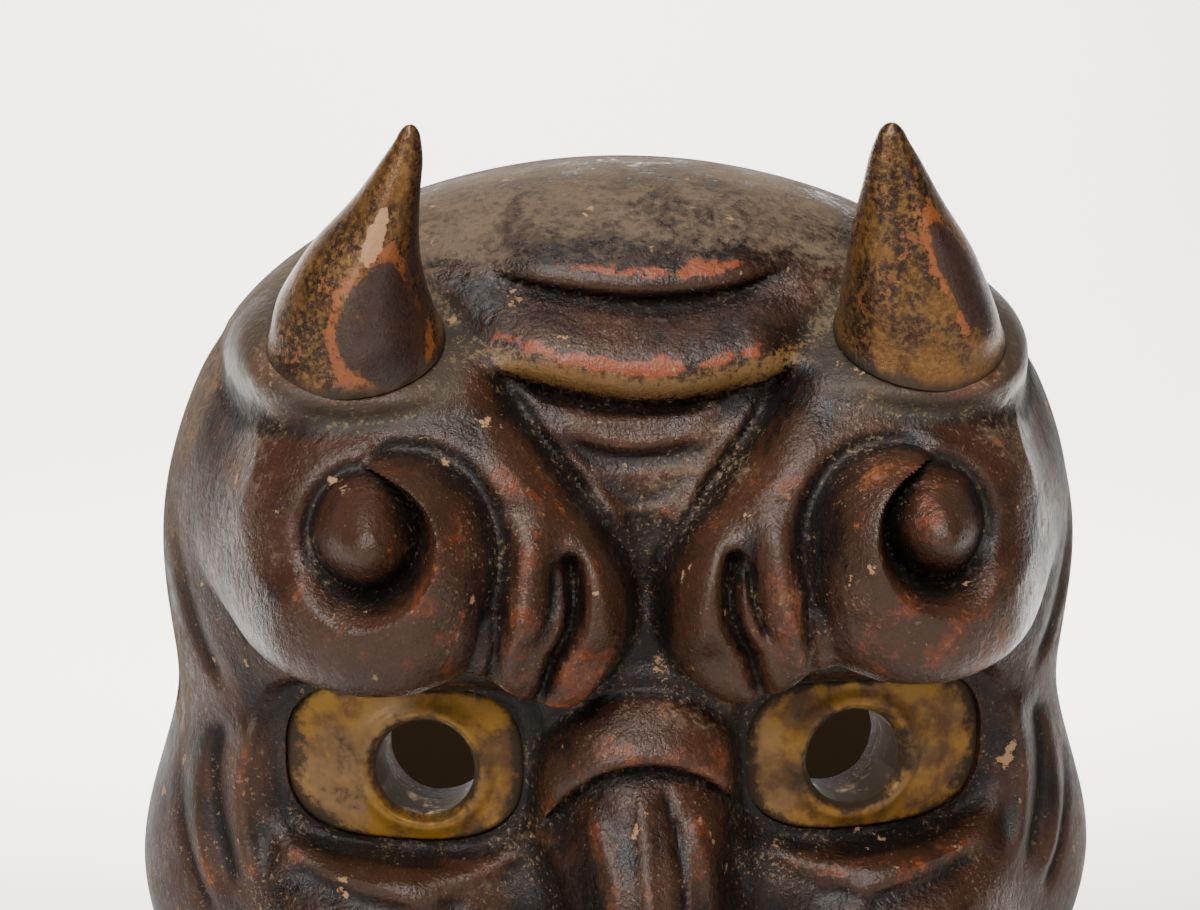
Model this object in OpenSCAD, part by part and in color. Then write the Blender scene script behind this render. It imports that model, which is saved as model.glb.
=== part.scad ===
/* [Body] */
// Half width of the mask at the cheeks, where it is widest
cheek_half_w = 92; // [84:1:96]
// Height of the crown's rim above the middle of the back
crown_h = 100; // [96:1:104]
// Depth of the chin's rim below the middle of the back
chin_h = 112; // [106:1:118]
// How far the plain face stands in front of the rim plane
face_depth = 57; // [54:1:60]
// Thickness of the carved wall
wall = 9; // [8:0.5:10]

/* [Brow] */
// How far the brow rolls stand out of the plain face
brow_rise = 27; // [22:1:30]
// Depth of the flat seat that the brow blocks are glued to
brow_seat_depth = 46; // [45:0.5:48]
// Diameter of the dowels behind the brow blocks
brow_dowel_d = 5; // [4:0.5:6]

/* [Horns] */
// Length of a horn along its axis, without the tenon
horn_len = 38; // [34:1:42]
// Diameter of a horn at its base
horn_base_d = 27; // [24:1:29]
// Diameter of a horn's tenon
horn_tenon_d = 12; // [10:0.5:13]
// Length of a horn's tenon
horn_tenon_len = 12; // [8:0.5:13]
// Angle between a horn's root and the horizontal, towards the front
horn_pitch = 62; // [58:1:66]
// Angle by which a horn's root leans outwards
horn_splay = 4; // [0:1:8]

/* [Eyes] */
// Distance between the pupil holes
eye_spacing = 74; // [70:1:78]
// Diameter of a pupil hole
pupil_d = 17; // [12:0.5:17]
// Width of an eye plate
eye_w = 44; // [40:1:46]
// Height of an eye plate
eye_h = 26; // [24:1:28]
// Radius of the sphere that an eye plate's front follows
eye_dome_r = 60; // [50:1:80]
// Thickness of an eye plate from its seat to the top of its dome
eye_t = 9; // [8:0.5:10]
// Angle by which an eye plate turns outwards
eye_turn = 12; // [8:1:14]

/* [Mouth] */
// Width of the open mouth
mouth_w = 74; // [66:1:80]
// Height of the open mouth at its middle
mouth_h = 22; // [18:1:26]
// Length of the large fangs
fang_len = 13; // [11:1:15]

/* [Cord] */
// Diameter of the hole for the cord on each side
cord_hole_d = 6; // [4:0.5:7]
// Distance of the cord hole's axis from the rim plane
cord_hole_depth = 14; // [12:0.5:16]
// Height of the cord hole's axis above the middle of the back
cord_hole_z = 4; // [0:1:8]

/* [Hidden] */

lacquer = [0.23, 0.09, 0.06];
worn_gilt = [0.55, 0.36, 0.14];
ochre = [0.62, 0.46, 0.15];
bamboo = [0.72, 0.58, 0.36];

rings = 22;
spokes = 64;
inner_rings = 8;
gap = 0.1;
seat_wood = 10;
left = -1;
right = 1;

// ---- the carved form, as a depth in front of the rim plane ----

function sq(v) = v * v;
function hill(d, power = 2) = exp(-pow(abs(d), power));

// The silhouette's radius from the middle of the back, by the angle from the horizontal
function outline_r(a) = lookup(a, [
    [-90, chin_h], [-69, chin_h - 1], [-49, 106], [-30, cheek_half_w + 9], [-18, cheek_half_w + 5],
    [-7, 87], [3, 82], [12, 86], [24, 93], [36, 98], [46, 102], [60, 102], [75, 100.5], [90, crown_h]]);
function fold(a) = asin(sin(a));

// The plain dome under the carving: boxy at the crown, rounder towards the chin
function plain_depth(rho, a, depth) = depth * pow(max(0, 1 - pow(rho, 3.4 + 0.8 * sin(a))), 0.42);

// The two brow rolls: steep below, where they hang over the eyes
function brow(x, z) = brow_rise * hill((abs(x) - 47) / 40, 4) * hill((z - 37) / (z > 37 ? 33 : 24), z > 37 ? 3 : 6);
function forehead(x, z) = 7 * hill(x / 27, 4) * (hill((z - 67) / 6) + 0.6 * hill((z - 84) / 5));
function nose(x, z) =
    lookup(z, [[-54, 0], [-49, 22], [-42, 38], [-32, 37], [-14, 24], [4, 13], [16, 8], [30, 0]])
    * hill(x / lookup(z, [[-46, 24], [-34, 23], [-20, 15], [4, 15], [20, 9]]), 3);
function cheek(x, z) = 13 * hill((abs(x) - 50) / 24) * hill((z + 40) / 20);
function lips(x, z) = 15 * hill((norm([x / 2.1, z + 69]) - 17) / 9);
function chin(x, z) = 22 * hill(x / 30) * hill((z + 98) / 13);

function rim_fade(rho) = 1 - pow(rho, 10);
function carving(x, z) = brow(x, z) + forehead(x, z) + nose(x, z) + cheek(x, z) + lips(x, z) + chin(x, z);
function nose_hollow(x, z) = 14 * hill(x / 14) * hill((z + 30) / 22);

// One ring of the outside, from the middle of the face (0) to the rim (1)
function ring_rho(t) = pow(sin(90 * t), 1.05);
function outside(t, a) =
    let (rho = ring_rho(t), r = rho * outline_r(fold(a)), x = r * cos(a), z = r * sin(a))
    [x, t == 1 ? 0 : -plain_depth(rho, a, face_depth) - rim_fade(rho) * carving(x, z), z];
function inside(t, a) =
    let (rho = ring_rho(t), r = rho * (outline_r(fold(a)) - wall), x = r * cos(a), z = r * sin(a))
    [x, t == 1 ? 0 : -plain_depth(rho, a, face_depth - wall - seat_wood) - rim_fade(rho) * nose_hollow(x, z), z];

function outside_points() = concat([outside(0, 0)],
    [for (i = [1:rings], j = [0:spokes - 1]) outside(i / rings, 360 * j / spokes)]);
function inside_points() = concat([inside(0, 0)],
    [for (i = [1:inner_rings], j = [0:spokes - 1]) inside(i / inner_rings, 360 * j / spokes)]);

// Triangles of a fan of rings whose points start at `o`; flip turns them inside out
function skin(o, count, flip) =
    let (faces = concat(
        [for (j = [0:spokes - 1]) [o, o + 1 + (j + 1) % spokes, o + 1 + j]],
        [for (i = [0:count - 2], j = [0:spokes - 1])
            let (a = o + 1 + i * spokes + j, b = o + 1 + i * spokes + (j + 1) % spokes)
            [a, b + spokes, a + spokes]],
        [for (i = [0:count - 2], j = [0:spokes - 1])
            let (a = o + 1 + i * spokes + j, b = o + 1 + i * spokes + (j + 1) % spokes)
            [a, b, b + spokes]]))
    [for (f = faces) flip ? [f[0], f[2], f[1]] : f];
function last_ring(o, count) = o + 1 + (count - 1) * spokes;

// The solid form without its hollow, closed flat on the rim plane
module solid_form() {
    edge = last_ring(0, rings);
    polyhedron(outside_points(), concat(skin(0, rings, false), [[for (j = [0:spokes - 1]) edge + j]]));
}

// The same form with its hollow and the flat rim between them
module hollow_form() {
    start = 1 + rings * spokes;
    edge = last_ring(0, rings);
    hole = last_ring(start, inner_rings);
    rim = [for (j = [0:spokes - 1])
        [edge + j, edge + (j + 1) % spokes, hole + (j + 1) % spokes, hole + j]];
    polyhedron(concat(outside_points(), inside_points()),
        concat(skin(0, rings, false), skin(start, inner_rings, true), rim));
}

// ---- brow blocks: flat-backed prisms of the form ----

brow_base_z = 14.2;
brow_outline = [[8, brow_base_z], [92, brow_base_z], [92, 54], [72, 60], [28, 60], [3, 39]];

// A slab in front of a depth, with an outline drawn for the right side
module slab(side, depth, outline) {
    translate([0, -depth, 0])
        rotate([90, 0, 0])
            linear_extrude(60)
                polygon([for (p = outline) [side * p[0], p[1]]]);
}

module brow_slab(side) {
    slab(side, brow_seat_depth, brow_outline);
}

// The free space under the overhanging brow roll
module brow_undercut(side) {
    slab(side, 54, [[18, 7], [92, 7], [92, brow_base_z], [18, brow_base_z]]);
}

dowel_x = [34, 62];
dowel_z = 38;
dowel_len = 14;

module brow_dowels(side, d, length) {
    for (x = dowel_x)
        translate([side * x, -brow_seat_depth, dowel_z])
            rotate([90, 0, 0])
                cylinder(d = d, h = length, center = true, $fn = 48);
}

module brow_block(side) {
    color(lacquer)
        difference() {
            intersection() {
                solid_form();
                brow_slab(side);
            }
            brow_dowels(side, brow_dowel_d + gap, dowel_len + 1);
            horn_cut(side);
        }
}

// ---- horns ----

horn_x = 47;
horn_z = 73;
horn_seat_depth = 48;
horn_tip_back = 4;
horn_spot_d = horn_base_d + 5;

module at_horn(side) {
    translate([side * horn_x, -horn_seat_depth, horn_z])
        rotate([90 - horn_pitch, side * horn_splay, 0])
            children();
}

horn_rings = 12;
horn_sides = 16;
function horn_r(t) = horn_base_d * lookup(t, [[0, 0.5], [0.12, 0.495], [0.22, 0.465], [0.45, 0.35], [0.61, 0.25],
    [0.77, 0.18], [0.91, 0.115], [1, 0.06]]);
function horn_lean(t) = lookup(t, [[0, 0], [0.22, 0.8], [0.45, 3.2], [0.61, 6.5], [0.77, 9], [0.91, 11], [1, 12]]);
function horn_path(t, side) = [-side * horn_lean(t), horn_tip_back * t * t, horn_len * t];

module horn_body(side) {
    points = concat(
        [for (i = [0:horn_rings], j = [0:horn_sides - 1])
            let (t = i / horn_rings, a = 360 * j / horn_sides)
            horn_path(t, side) + horn_r(t) * [cos(a), sin(a), 0]],
        [horn_path(1, side) + [0, 0, 1]]);
    tip = len(points) - 1;
    faces = concat(
        [[for (j = [0:horn_sides - 1]) j]],
        [for (i = [0:horn_rings - 1], j = [0:horn_sides - 1])
            let (a = i * horn_sides + j, b = i * horn_sides + (j + 1) % horn_sides)
            [a, a + horn_sides, b + horn_sides]],
        [for (i = [0:horn_rings - 1], j = [0:horn_sides - 1])
            let (a = i * horn_sides + j, b = i * horn_sides + (j + 1) % horn_sides)
            [a, b + horn_sides, b]],
        [for (j = [0:horn_sides - 1])
            [tip, horn_rings * horn_sides + (j + 1) % horn_sides, horn_rings * horn_sides + j]]);
    polyhedron(points, faces);
}

peg_d = 3;
peg_drop = 7;
peg_front_depth = 54;
peg_back_depth = 28;
peg_hole_back_depth = 18;

// A rod along the mask's depth, through the tenon's axis
module peg_rod(side, d, front, back) {
    translate([side * (horn_x - peg_drop * sin(horn_splay)), -front, horn_z - peg_drop * sin(horn_pitch)])
        rotate([-90, 0, 0])
            cylinder(d = d, h = front - back, $fn = 48);
}

module peg_hole(side) {
    peg_rod(side, peg_d + gap, peg_front_depth + gap, peg_hole_back_depth);
}

module horn(side) {
    color(worn_gilt)
        difference() {
            at_horn(side) {
                horn_body(side);
                translate([0, 0, -horn_tenon_len])
                    cylinder(d = horn_tenon_d, h = horn_tenon_len, $fn = 64);
            }
            peg_hole(side);
        }
}

// The pin that locks a horn, driven from the hollow of the mask, with its back end sunk
module horn_peg(side) {
    color(bamboo)
        peg_rod(side, peg_d, peg_front_depth, peg_back_depth);
}

// What the crown loses under a horn: the flat seat, the socket and the pin's hole
module horn_cut(side) {
    at_horn(side) {
        cylinder(d = horn_spot_d, h = 30, $fn = 64);
        translate([0, 0, -horn_tenon_len - 0.5])
            cylinder(d = horn_tenon_d + 2 * gap, h = horn_tenon_len + 1, $fn = 64);
    }
    peg_hole(side);
}

// ---- eyes ----

eye_x = eye_spacing / 2;
eye_z = 0;
eye_front_depth = 51;

eye_lid_z = brow_base_z - 2 * gap;

function squarish(v) = sign(v) * pow(abs(v), 0.8);

// An eye's outline, cut straight where it tucks under the brow
function almond(grow, lid) = [for (i = [0:47])
    let (a = 360 * i / 48)
    [(eye_w / 2 + grow) * squarish(cos(a)), min((eye_h / 2 + grow) * squarish(sin(a)), lid)]];

module at_eye(side) {
    translate([side * (eye_x + 2), -eye_front_depth, eye_z])
        rotate([90, 0, side * eye_turn])
            children();
}

module eye(side) {
    color(ochre)
        at_eye(side)
            difference() {
                intersection() {
                    translate([0, 0, -eye_t])
                        linear_extrude(eye_t + 1)
                            polygon(almond(0, eye_lid_z));
                    translate([0, 0, -eye_dome_r])
                        sphere(r = eye_dome_r, $fn = 96);
                }
                translate([-side * 2, 0, -20])
                    cylinder(d = pupil_d, h = 40, $fn = 64);
            }
}

// The pocket that holds an eye plate, open to the front, and the wearer's peep hole behind it
module eye_cut(side) {
    at_eye(side) {
        translate([0, 0, -eye_t])
            linear_extrude(30)
                polygon(almond(gap, brow_base_z));
        translate([-side * 2, 0, -60])
            cylinder(d = pupil_d + 1, h = 60, $fn = 64);
    }
}

// ---- mouth, teeth and nostrils ----

mouth_z = -69;
mouth_sag = 3;
teeth_half_w = 20.5;
teeth_each = 6;
tooth_t = 7;
tooth_root = 4;
tooth_show = 5;
tooth_lap = 0.05;
fang_d = 7;

// The mouth's upper (+1) and lower (-1) edge: an oval bent down at its corners
function mouth_edge(x, way) =
    let (u = 2 * x / mouth_w)
    mouth_z + way * mouth_h / 2 * sqrt(max(0, 1 - u * u)) - mouth_sag * u * u;
function bite_depth(x) = 57 - 9 * sq(x / teeth_half_w);

module mouth_cut() {
    rotate([90, 0, 0])
        linear_extrude(120)
            polygon([for (i = [0:47])
                let (a = 360 * i / 48, x = mouth_w / 2 * cos(a))
                [x, mouth_edge(x, sin(a) < 0 ? -1 : 1)]]);
}

// A curved row of teeth whose roots go into the lip; grow makes the slot for it
module teeth_row(way, grow) {
    tooth_w = 2 * teeth_half_w / teeth_each;
    for (i = [0:teeth_each - 1]) {
        x = (i + 0.5) * tooth_w - teeth_half_w;
        low = way > 0 ? tooth_show : tooth_root;
        translate([x - tooth_w / 2 - grow, -bite_depth(x) - grow, mouth_edge(x, way) - low - grow])
            cube([tooth_w + 2 * grow + tooth_lap, tooth_t + 2 * grow, tooth_root + tooth_show + 2 * grow]);
    }
}

module teeth(way) {
    color(ochre)
        union() teeth_row(way, 0);
}

fang_x = [32, 24.5];

module at_fang(side, way) {
    x = fang_x[way > 0 ? 1 : 0];
    translate([side * x, -bite_depth(x) + (way > 0 ? 1 : -2), mouth_edge(x, way)])
        rotate([way > 0 ? 180 : 0, 0, 0])
            children();
}

module fang(side, way) {
    color(ochre)
        at_fang(side, way)
            union() {
                translate([0, 0, -tooth_root])
                    cylinder(d = fang_d, h = tooth_root, $fn = 48);
                cylinder(d1 = fang_d, d2 = 1.5, h = fang_len - tooth_root, $fn = 48);
            }
}

module fang_socket(side, way) {
    at_fang(side, way)
        translate([0, 0, -tooth_root - gap])
            cylinder(d = fang_d + 2 * gap, h = tooth_root + 3, $fn = 48);
}

nostril_d = 6;

module nostril(side) {
    translate([side * 9, -52, -40])
        rotate([90 + 32, 0, 0])
            cylinder(d = nostril_d, h = 60, center = true, $fn = 48);
}

// ---- the shell ----

module cord_holes() {
    for (side = [left, right])
        translate([side * cheek_half_w, -cord_hole_depth, cord_hole_z])
            rotate([0, 90, 0])
                cylinder(d = cord_hole_d, h = 60, center = true, $fn = 64);
}

module face_shell() {
    color(lacquer)
        difference() {
            hollow_form();
            for (side = [left, right]) {
                brow_slab(side);
                brow_undercut(side);
                brow_dowels(side, brow_dowel_d + gap, dowel_len + 1);
                horn_cut(side);
                eye_cut(side);
                nostril(side);
                for (way = [-1, 1])
                    fang_socket(side, way);
            }
            mouth_cut();
            teeth_row(1, gap);
            teeth_row(-1, gap);
            cord_holes();
        }
}

module brow_pegs(side) {
    color(bamboo)
        brow_dowels(side, brow_dowel_d, dowel_len);
}

face_shell();
brow_block(left);  // left_brow
brow_block(right);  // right_brow
horn(left);  // left_horn
horn(right);  // right_horn
horn_peg(left);  // left_horn_peg
horn_peg(right);  // right_horn_peg
brow_pegs(left);  // left_brow_pegs
brow_pegs(right);  // right_brow_pegs
eye(left);  // left_eye
eye(right);  // right_eye
teeth(1);  // upper_teeth
teeth(-1);  // lower_teeth
fang(left, 1);  // upper_left_fang
fang(right, 1);  // upper_right_fang
fang(left, -1);  // lower_left_fang
fang(right, -1);  // lower_right_fang
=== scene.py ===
"""Carved demon mask: the sculpted wood, its horns, eyes and teeth, and their lacquer and gilding."""
import math

import bmesh
import bpy
import numpy as np
from bpy.props import FloatProperty, FloatVectorProperty, PointerProperty
from mathutils import Matrix, Vector, kdtree


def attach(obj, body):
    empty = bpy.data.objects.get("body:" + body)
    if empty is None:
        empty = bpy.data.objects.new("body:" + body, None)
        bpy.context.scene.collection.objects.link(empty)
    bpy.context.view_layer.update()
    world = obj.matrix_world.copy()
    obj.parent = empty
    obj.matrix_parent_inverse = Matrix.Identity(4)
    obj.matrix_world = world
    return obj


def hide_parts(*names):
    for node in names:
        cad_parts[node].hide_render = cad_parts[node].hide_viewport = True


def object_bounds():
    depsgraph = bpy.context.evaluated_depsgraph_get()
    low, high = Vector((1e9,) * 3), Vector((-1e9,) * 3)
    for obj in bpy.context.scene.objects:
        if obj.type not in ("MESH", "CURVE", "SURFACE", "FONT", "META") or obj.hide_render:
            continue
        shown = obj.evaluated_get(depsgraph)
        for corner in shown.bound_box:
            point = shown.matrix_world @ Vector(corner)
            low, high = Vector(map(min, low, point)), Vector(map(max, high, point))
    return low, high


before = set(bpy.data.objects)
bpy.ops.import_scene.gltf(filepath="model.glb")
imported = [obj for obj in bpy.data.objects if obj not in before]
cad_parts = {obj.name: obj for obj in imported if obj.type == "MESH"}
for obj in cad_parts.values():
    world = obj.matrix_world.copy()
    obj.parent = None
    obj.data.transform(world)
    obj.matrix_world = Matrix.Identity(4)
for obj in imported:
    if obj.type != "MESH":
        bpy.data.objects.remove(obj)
CAD_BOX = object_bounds()

bl_info = {
    "name": "Carved demon mask",
    "version": (1, 0, 0),
    "blender": (4, 5, 0),
    "location": "View3D > Sidebar > Mask",
    "description": "Sculpts and finishes a lacquered wooden mask around its frame",
    "category": "Object",
}

MM = 0.001
LEFT, RIGHT = -1, 1
SIDES = {"left": LEFT, "right": RIGHT}

# ---------------------------------------------------------------- settings a user would change


def length(name, description, default):
    """A size in metres, shown in the scene's length unit."""
    return FloatProperty(name=name, description=description, default=default, subtype="DISTANCE", unit="LENGTH")


def colour(name, description, default):
    """A linear colour swatch."""
    return FloatVectorProperty(name=name, description=description, default=default, size=3, min=0, max=1,
                               subtype="COLOR")


def angle(name, description, degrees):
    """An angle, given here in degrees."""
    return FloatProperty(name=name, description=description, default=math.radians(degrees), subtype="ANGLE",
                         unit="ROTATION")


class MaskShape(bpy.types.PropertyGroup):
    """Sizes of the carving."""
    brow_lift: length("Brow lift", "How far the brow rolls stand out of the plain face", 0.018)
    scroll_lift: length("Scroll lift", "Height of the scroll's crest above the brow roll", 0.0075)
    knob_lift: length("Knob lift", "Height of the knob in the middle of a scroll", 0.009)
    nose_lift: length("Nose lift", "How far the nose tip stands out of the face", 0.036)
    horn_base: length("Horn base", "Diameter of a horn at its base", 0.027)


class MaskColours(bpy.types.PropertyGroup):
    """Colours of the finishes."""
    lacquer_dark: colour("Dark lacquer", "Thick lacquer in the hollows", (0.0100, 0.0055, 0.0040))
    lacquer_brown: colour("Brown lacquer", "Lacquer on the open surfaces", (0.055, 0.0210, 0.0120))
    lacquer_red: colour("Red undercoat", "Undercoat where the lacquer has worn through", (0.150, 0.036, 0.012))
    dust: colour("Dust", "Grey dust in the matte, worn areas", (0.165, 0.116, 0.072))
    wood: colour("Bare wood", "Cypress where everything has chipped off", (0.47, 0.27, 0.14))
    gilt: colour("Gilding", "Gold on the horns", (0.185, 0.082, 0.022))
    gilt_red: colour("Gilding ground", "Orange-red ground under the gold", (0.30, 0.085, 0.020))
    ochre: colour("Ochre", "Gold paint on the eyes and teeth", (0.330, 0.165, 0.018))
    bamboo: colour("Bamboo", "Bare bamboo of the pins", (0.42, 0.27, 0.11))


class StageSettings(bpy.types.PropertyGroup):
    """Camera and light."""
    focal: FloatProperty(name="Focal length", description="Focal length for a 36 mm wide film", default=63.1)
    distance: length("Distance", "Camera distance from the point that it looks at", 0.350)
    turn: angle("Turn", "How far the camera stands to the viewer's left", 4.3)
    rise: angle("Rise", "How far the camera stands above the level line", 12.0)
    floor: colour("Floor", "Colour of the floor and backdrop", (0.90, 0.885, 0.86))


# ---------------------------------------------------------------- small shape functions (millimetres)


def smooth(t):
    """0 to 1 with level ends."""
    t = np.clip(t, 0, 1)
    return t * t * (3 - 2 * t)


def hill(d, power=2.0):
    """A bump that is 1 at 0 and dies away on both sides."""
    return np.exp(-np.abs(d) ** power)


def table(x, pairs):
    """Straight-line interpolation in a short list of (where, value) pairs."""
    where, value = zip(*sorted(pairs))
    return np.interp(x, where, value)


def dome(t, foot=0.12):
    """A steep, rounded rise from 0 to 1 with a small fillet at its foot."""
    t = np.clip(0.5 * (t + np.sqrt(t * t + foot * foot)), 0, 1)
    return 1 - (1 - t) ** 2.4


def curve_through(points, count=36):
    """Points along a smooth curve through the given ones."""
    p = np.array(points, float)
    p = np.vstack([2 * p[0] - p[1], p, 2 * p[-1] - p[-2]])
    spans = len(p) - 3
    u = np.linspace(0, spans - 1e-6, count)
    i = u.astype(int)
    t = (u - i)[:, None]
    a, b, c, d = p[i], p[i + 1], p[i + 2], p[i + 3]
    return 0.5 * (2 * b + (c - a) * t + (2 * a - 5 * b + 4 * c - d) * t ** 2 + (3 * b - a - 3 * c + d) * t ** 3)


def beside(x, z, points, reach):
    """Signed distance to a curve (positive on its left) and the place along it from 0 to 1.

    Points further away than `reach` get the distance `reach * 4`."""
    line = curve_through(points)
    away = np.full(x.shape, 4.0 * reach)
    along = np.zeros(x.shape)
    low, high = line.min(0) - reach, line.max(0) + reach
    near = (x > low[0]) & (x < high[0]) & (z > low[1]) & (z < high[1])
    px, pz = x[near], z[near]
    best = np.full(px.shape, np.inf)
    sign = np.ones(px.shape)
    place = np.zeros(px.shape)
    last = len(line) - 1
    for k in range(last):
        a, step = line[k], line[k + 1] - line[k]
        t = np.clip(((px - a[0]) * step[0] + (pz - a[1]) * step[1]) / (step @ step), 0, 1)
        dx, dz = px - a[0] - t * step[0], pz - a[1] - t * step[1]
        d2 = dx * dx + dz * dz
        closer = d2 < best
        best = np.where(closer, d2, best)
        sign = np.where(closer, np.sign(step[0] * dz - step[1] * dx), sign)
        place = np.where(closer, (k + t) / last, place)
    away[near] = np.sqrt(best) * np.where(sign == 0, 1, sign)
    along[near] = place
    return away, along


def ends(t, fade=0.2):
    """1 along a curve, falling to 0 at both ends."""
    return smooth(t / fade) * smooth((1 - t) / fade)


def ridge(x, z, points, height, left=2.0, right=2.0, fade=0.2):
    """A raised (or with a negative height, sunken) line with its own width on each side."""
    d, t = beside(x, z, points, 5 * max(left, right))
    return height * ends(t, fade) * np.where(d > 0, hill(d / left), hill(d / right))


def ridges(x, z, lines):
    """Several raised or sunken lines, each given as points, height, width left, width right and maybe its fade."""
    return sum(ridge(x, z, *line) for line in lines)


def fold(x, z, points, lift, roll, hollow=1.5, above=6.0, below=5.0, fade=0.22):
    """Skin that hangs over at a line: a slope on its right, then a round lip and a hollow on its left."""
    d, t = beside(x, z, points, 4 * max(roll, above, below))
    up = lift * hill(d / above)
    s = np.clip(d / roll, 0, 1)
    lip = -hollow + (lift + hollow) * np.sqrt(np.clip(1 - s ** 2.2, 0, 1))
    under = -hollow * hill((d - roll) / below)
    shape = np.where(d < 0, up, np.where(d < roll, lip, under))
    return shape * ends(t, fade)


# ---------------------------------------------------------------- the carved form

FACE_DEPTH = 57.0
WALL = 9.0
SEAT_WOOD = 10.0
CROWN_H, CHIN_H, CHEEK_W = 100.0, 112.0, 92.0
OUTLINE = [(-90, CHIN_H), (-69, CHIN_H - 1), (-49, 106), (-30, CHEEK_W + 9), (-18, CHEEK_W + 5), (-7, 87),
           (3, 82), (12, 86), (24, 93), (36, 98), (46, 102), (60, 102), (75, 100.5), (90, CROWN_H)]
HORN_SEAT = (47.0, 73.0)
HORN_PITCH = 62.0
HORN_SEAT_DEPTH = 48.0
KNOB = (45.5, 46.0)
MOUTH_Z, MOUTH_W, MOUTH_H, MOUTH_SAG = -69.0, 74.0, 22.0, 3.0
BROW_BASE_Z, BROW_SEAT_DEPTH = 14.2, 46.0
BROW_OUTLINE = [(8, BROW_BASE_Z), (92, BROW_BASE_Z), (92, 54), (72, 60), (28, 60), (3, 39)]
EYE_X = {LEFT: 41.0, RIGHT: 39.8}
EYE_W = {LEFT: 41.5, RIGHT: 44.0}
EYE_DEPTH, EYE_TURN = 51.0, 12.0
EYE_H, EYE_T, EYE_DOME_R = 28.0, 9.0, 80.0
PUPIL_X = 37.3
EYE_LID_Z = BROW_BASE_Z - 0.2
PUPIL_D = 17.0
HORN_SPLAY, TENON_R, TENON_LEN, PIN_R = 4.0, 6.0, 12.0, 1.5
PIN = (46.5, 66.8)
PEEP_HOLE_R, NOSTRIL_R, CORD_HOLE_R = 9.0, 3.0, 3.0


def outline_radius(a):
    """Radius of the silhouette by the angle from the horizontal, in degrees, with its corners rounded."""
    fine = np.arange(-180, 181, 1.0)
    radius = table(np.degrees(np.arcsin(np.sin(np.radians(fine)))), OUTLINE)
    kernel = hill(np.arange(-12, 13) / 6.0)
    ringed = np.concatenate([radius[:-1]] * 3)
    rounded = np.convolve(ringed, kernel / kernel.sum(), "same")[360:721]
    return np.interp(a, fine, rounded)


RIDGE_ONE = [(27, 88.5), (14, 85), (0, 84), (-14, 85.5), (-27, 88)]
RIDGE_TWO = [(28, 76), (16, 71.5), (2, 69.5), (-13, 71.5), (-29, 76)]


def forehead(x, z):
    """Three overlapping folds of skin between the horns."""
    top = fold(x, z, RIDGE_ONE, 3.3, 4.2, 3.0, above=6, below=4.5)
    main = fold(x, z, RIDGE_TWO, 4.6, 6.2, 3.2, above=7, below=3.5)
    return top + main + ridges(x, z, [
        ([(27, 71), (19, 66), (10, 61.5), (0, 60.3), (-10, 61), (-20, 65), (-28, 71)], 1.1, 1.0, 1.4),
        ([(13, 60), (6, 57.8), (-2, 57), (-9, 58.2), (-18, 61.6)], 1.0, 1.8, 1.6),
        ([(11, 57), (5, 54.8), (-2, 54.2), (-8, 55), (-15, 57.8)], -1.3, 1.5, 1.7),
        ([(12, 52), (4, 47), (-1, 46), (-6, 47.5), (-13, 53)], 0.7, 1.5, 1.2)])


# Curves of one half, outwards from the middle line and upwards
V_LINE = [(27, 72), (18.5, 59.5), (12.5, 51.5), (7, 44), (3.2, 38.5), (1.6, 33), (1.8, 25), (4, 20)]
BROW_FOOT = [(1, 24), (5, 18.8), (11, 17.4), (18, 18), (24, 20.5), (29, 23), (38, 20.6), (50, 20.2), (62, 22.8),
             (72, 29), (78, 38), (80.5, 48), (79, 58)]
BROW_FOOT_WIDTH = [(0, 5), (0.25, 7), (0.5, 10), (0.75, 13), (1, 16)]


def brow_body(X, z, lift):
    """The mass that the scroll and the lobes are carved from."""
    inner, _ = beside(X, z, V_LINE, 26)
    foot, t = beside(X, z, BROW_FOOT, 30)
    inner = np.where(np.abs(inner) > 100, np.where(X > 20, 30.0, -30.0), inner)
    foot = np.where(np.abs(foot) > 110, np.where(z > 24, 30.0, -30.0), foot)
    inner_rise = 0.62 * dome(inner / 7) + 0.38 * smooth(inner / 26)
    foot_width = table(t, BROW_FOOT_WIDTH)
    foot_rise = dome(foot / foot_width)
    top = smooth((78 - z) / 27)
    outer = 0.35 + 0.65 * smooth((84 - X) / 26)
    return lift * inner_rise * foot_rise * top * outer


def brow_droop(X, z):
    """How far the lower edge of the brow roll sags below the line that it springs from."""
    foot, t = beside(X, z, BROW_FOOT, 30)
    width = table(t, BROW_FOOT_WIDTH)
    q = np.clip(foot / width, 0, 1)
    across = smooth((X - 4) / 10) * smooth((78 - X) / 14)
    return np.where(np.abs(foot) > 100, 0, 5.2 * 4 * q * (1 - q) ** 1.2 * across)


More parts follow.
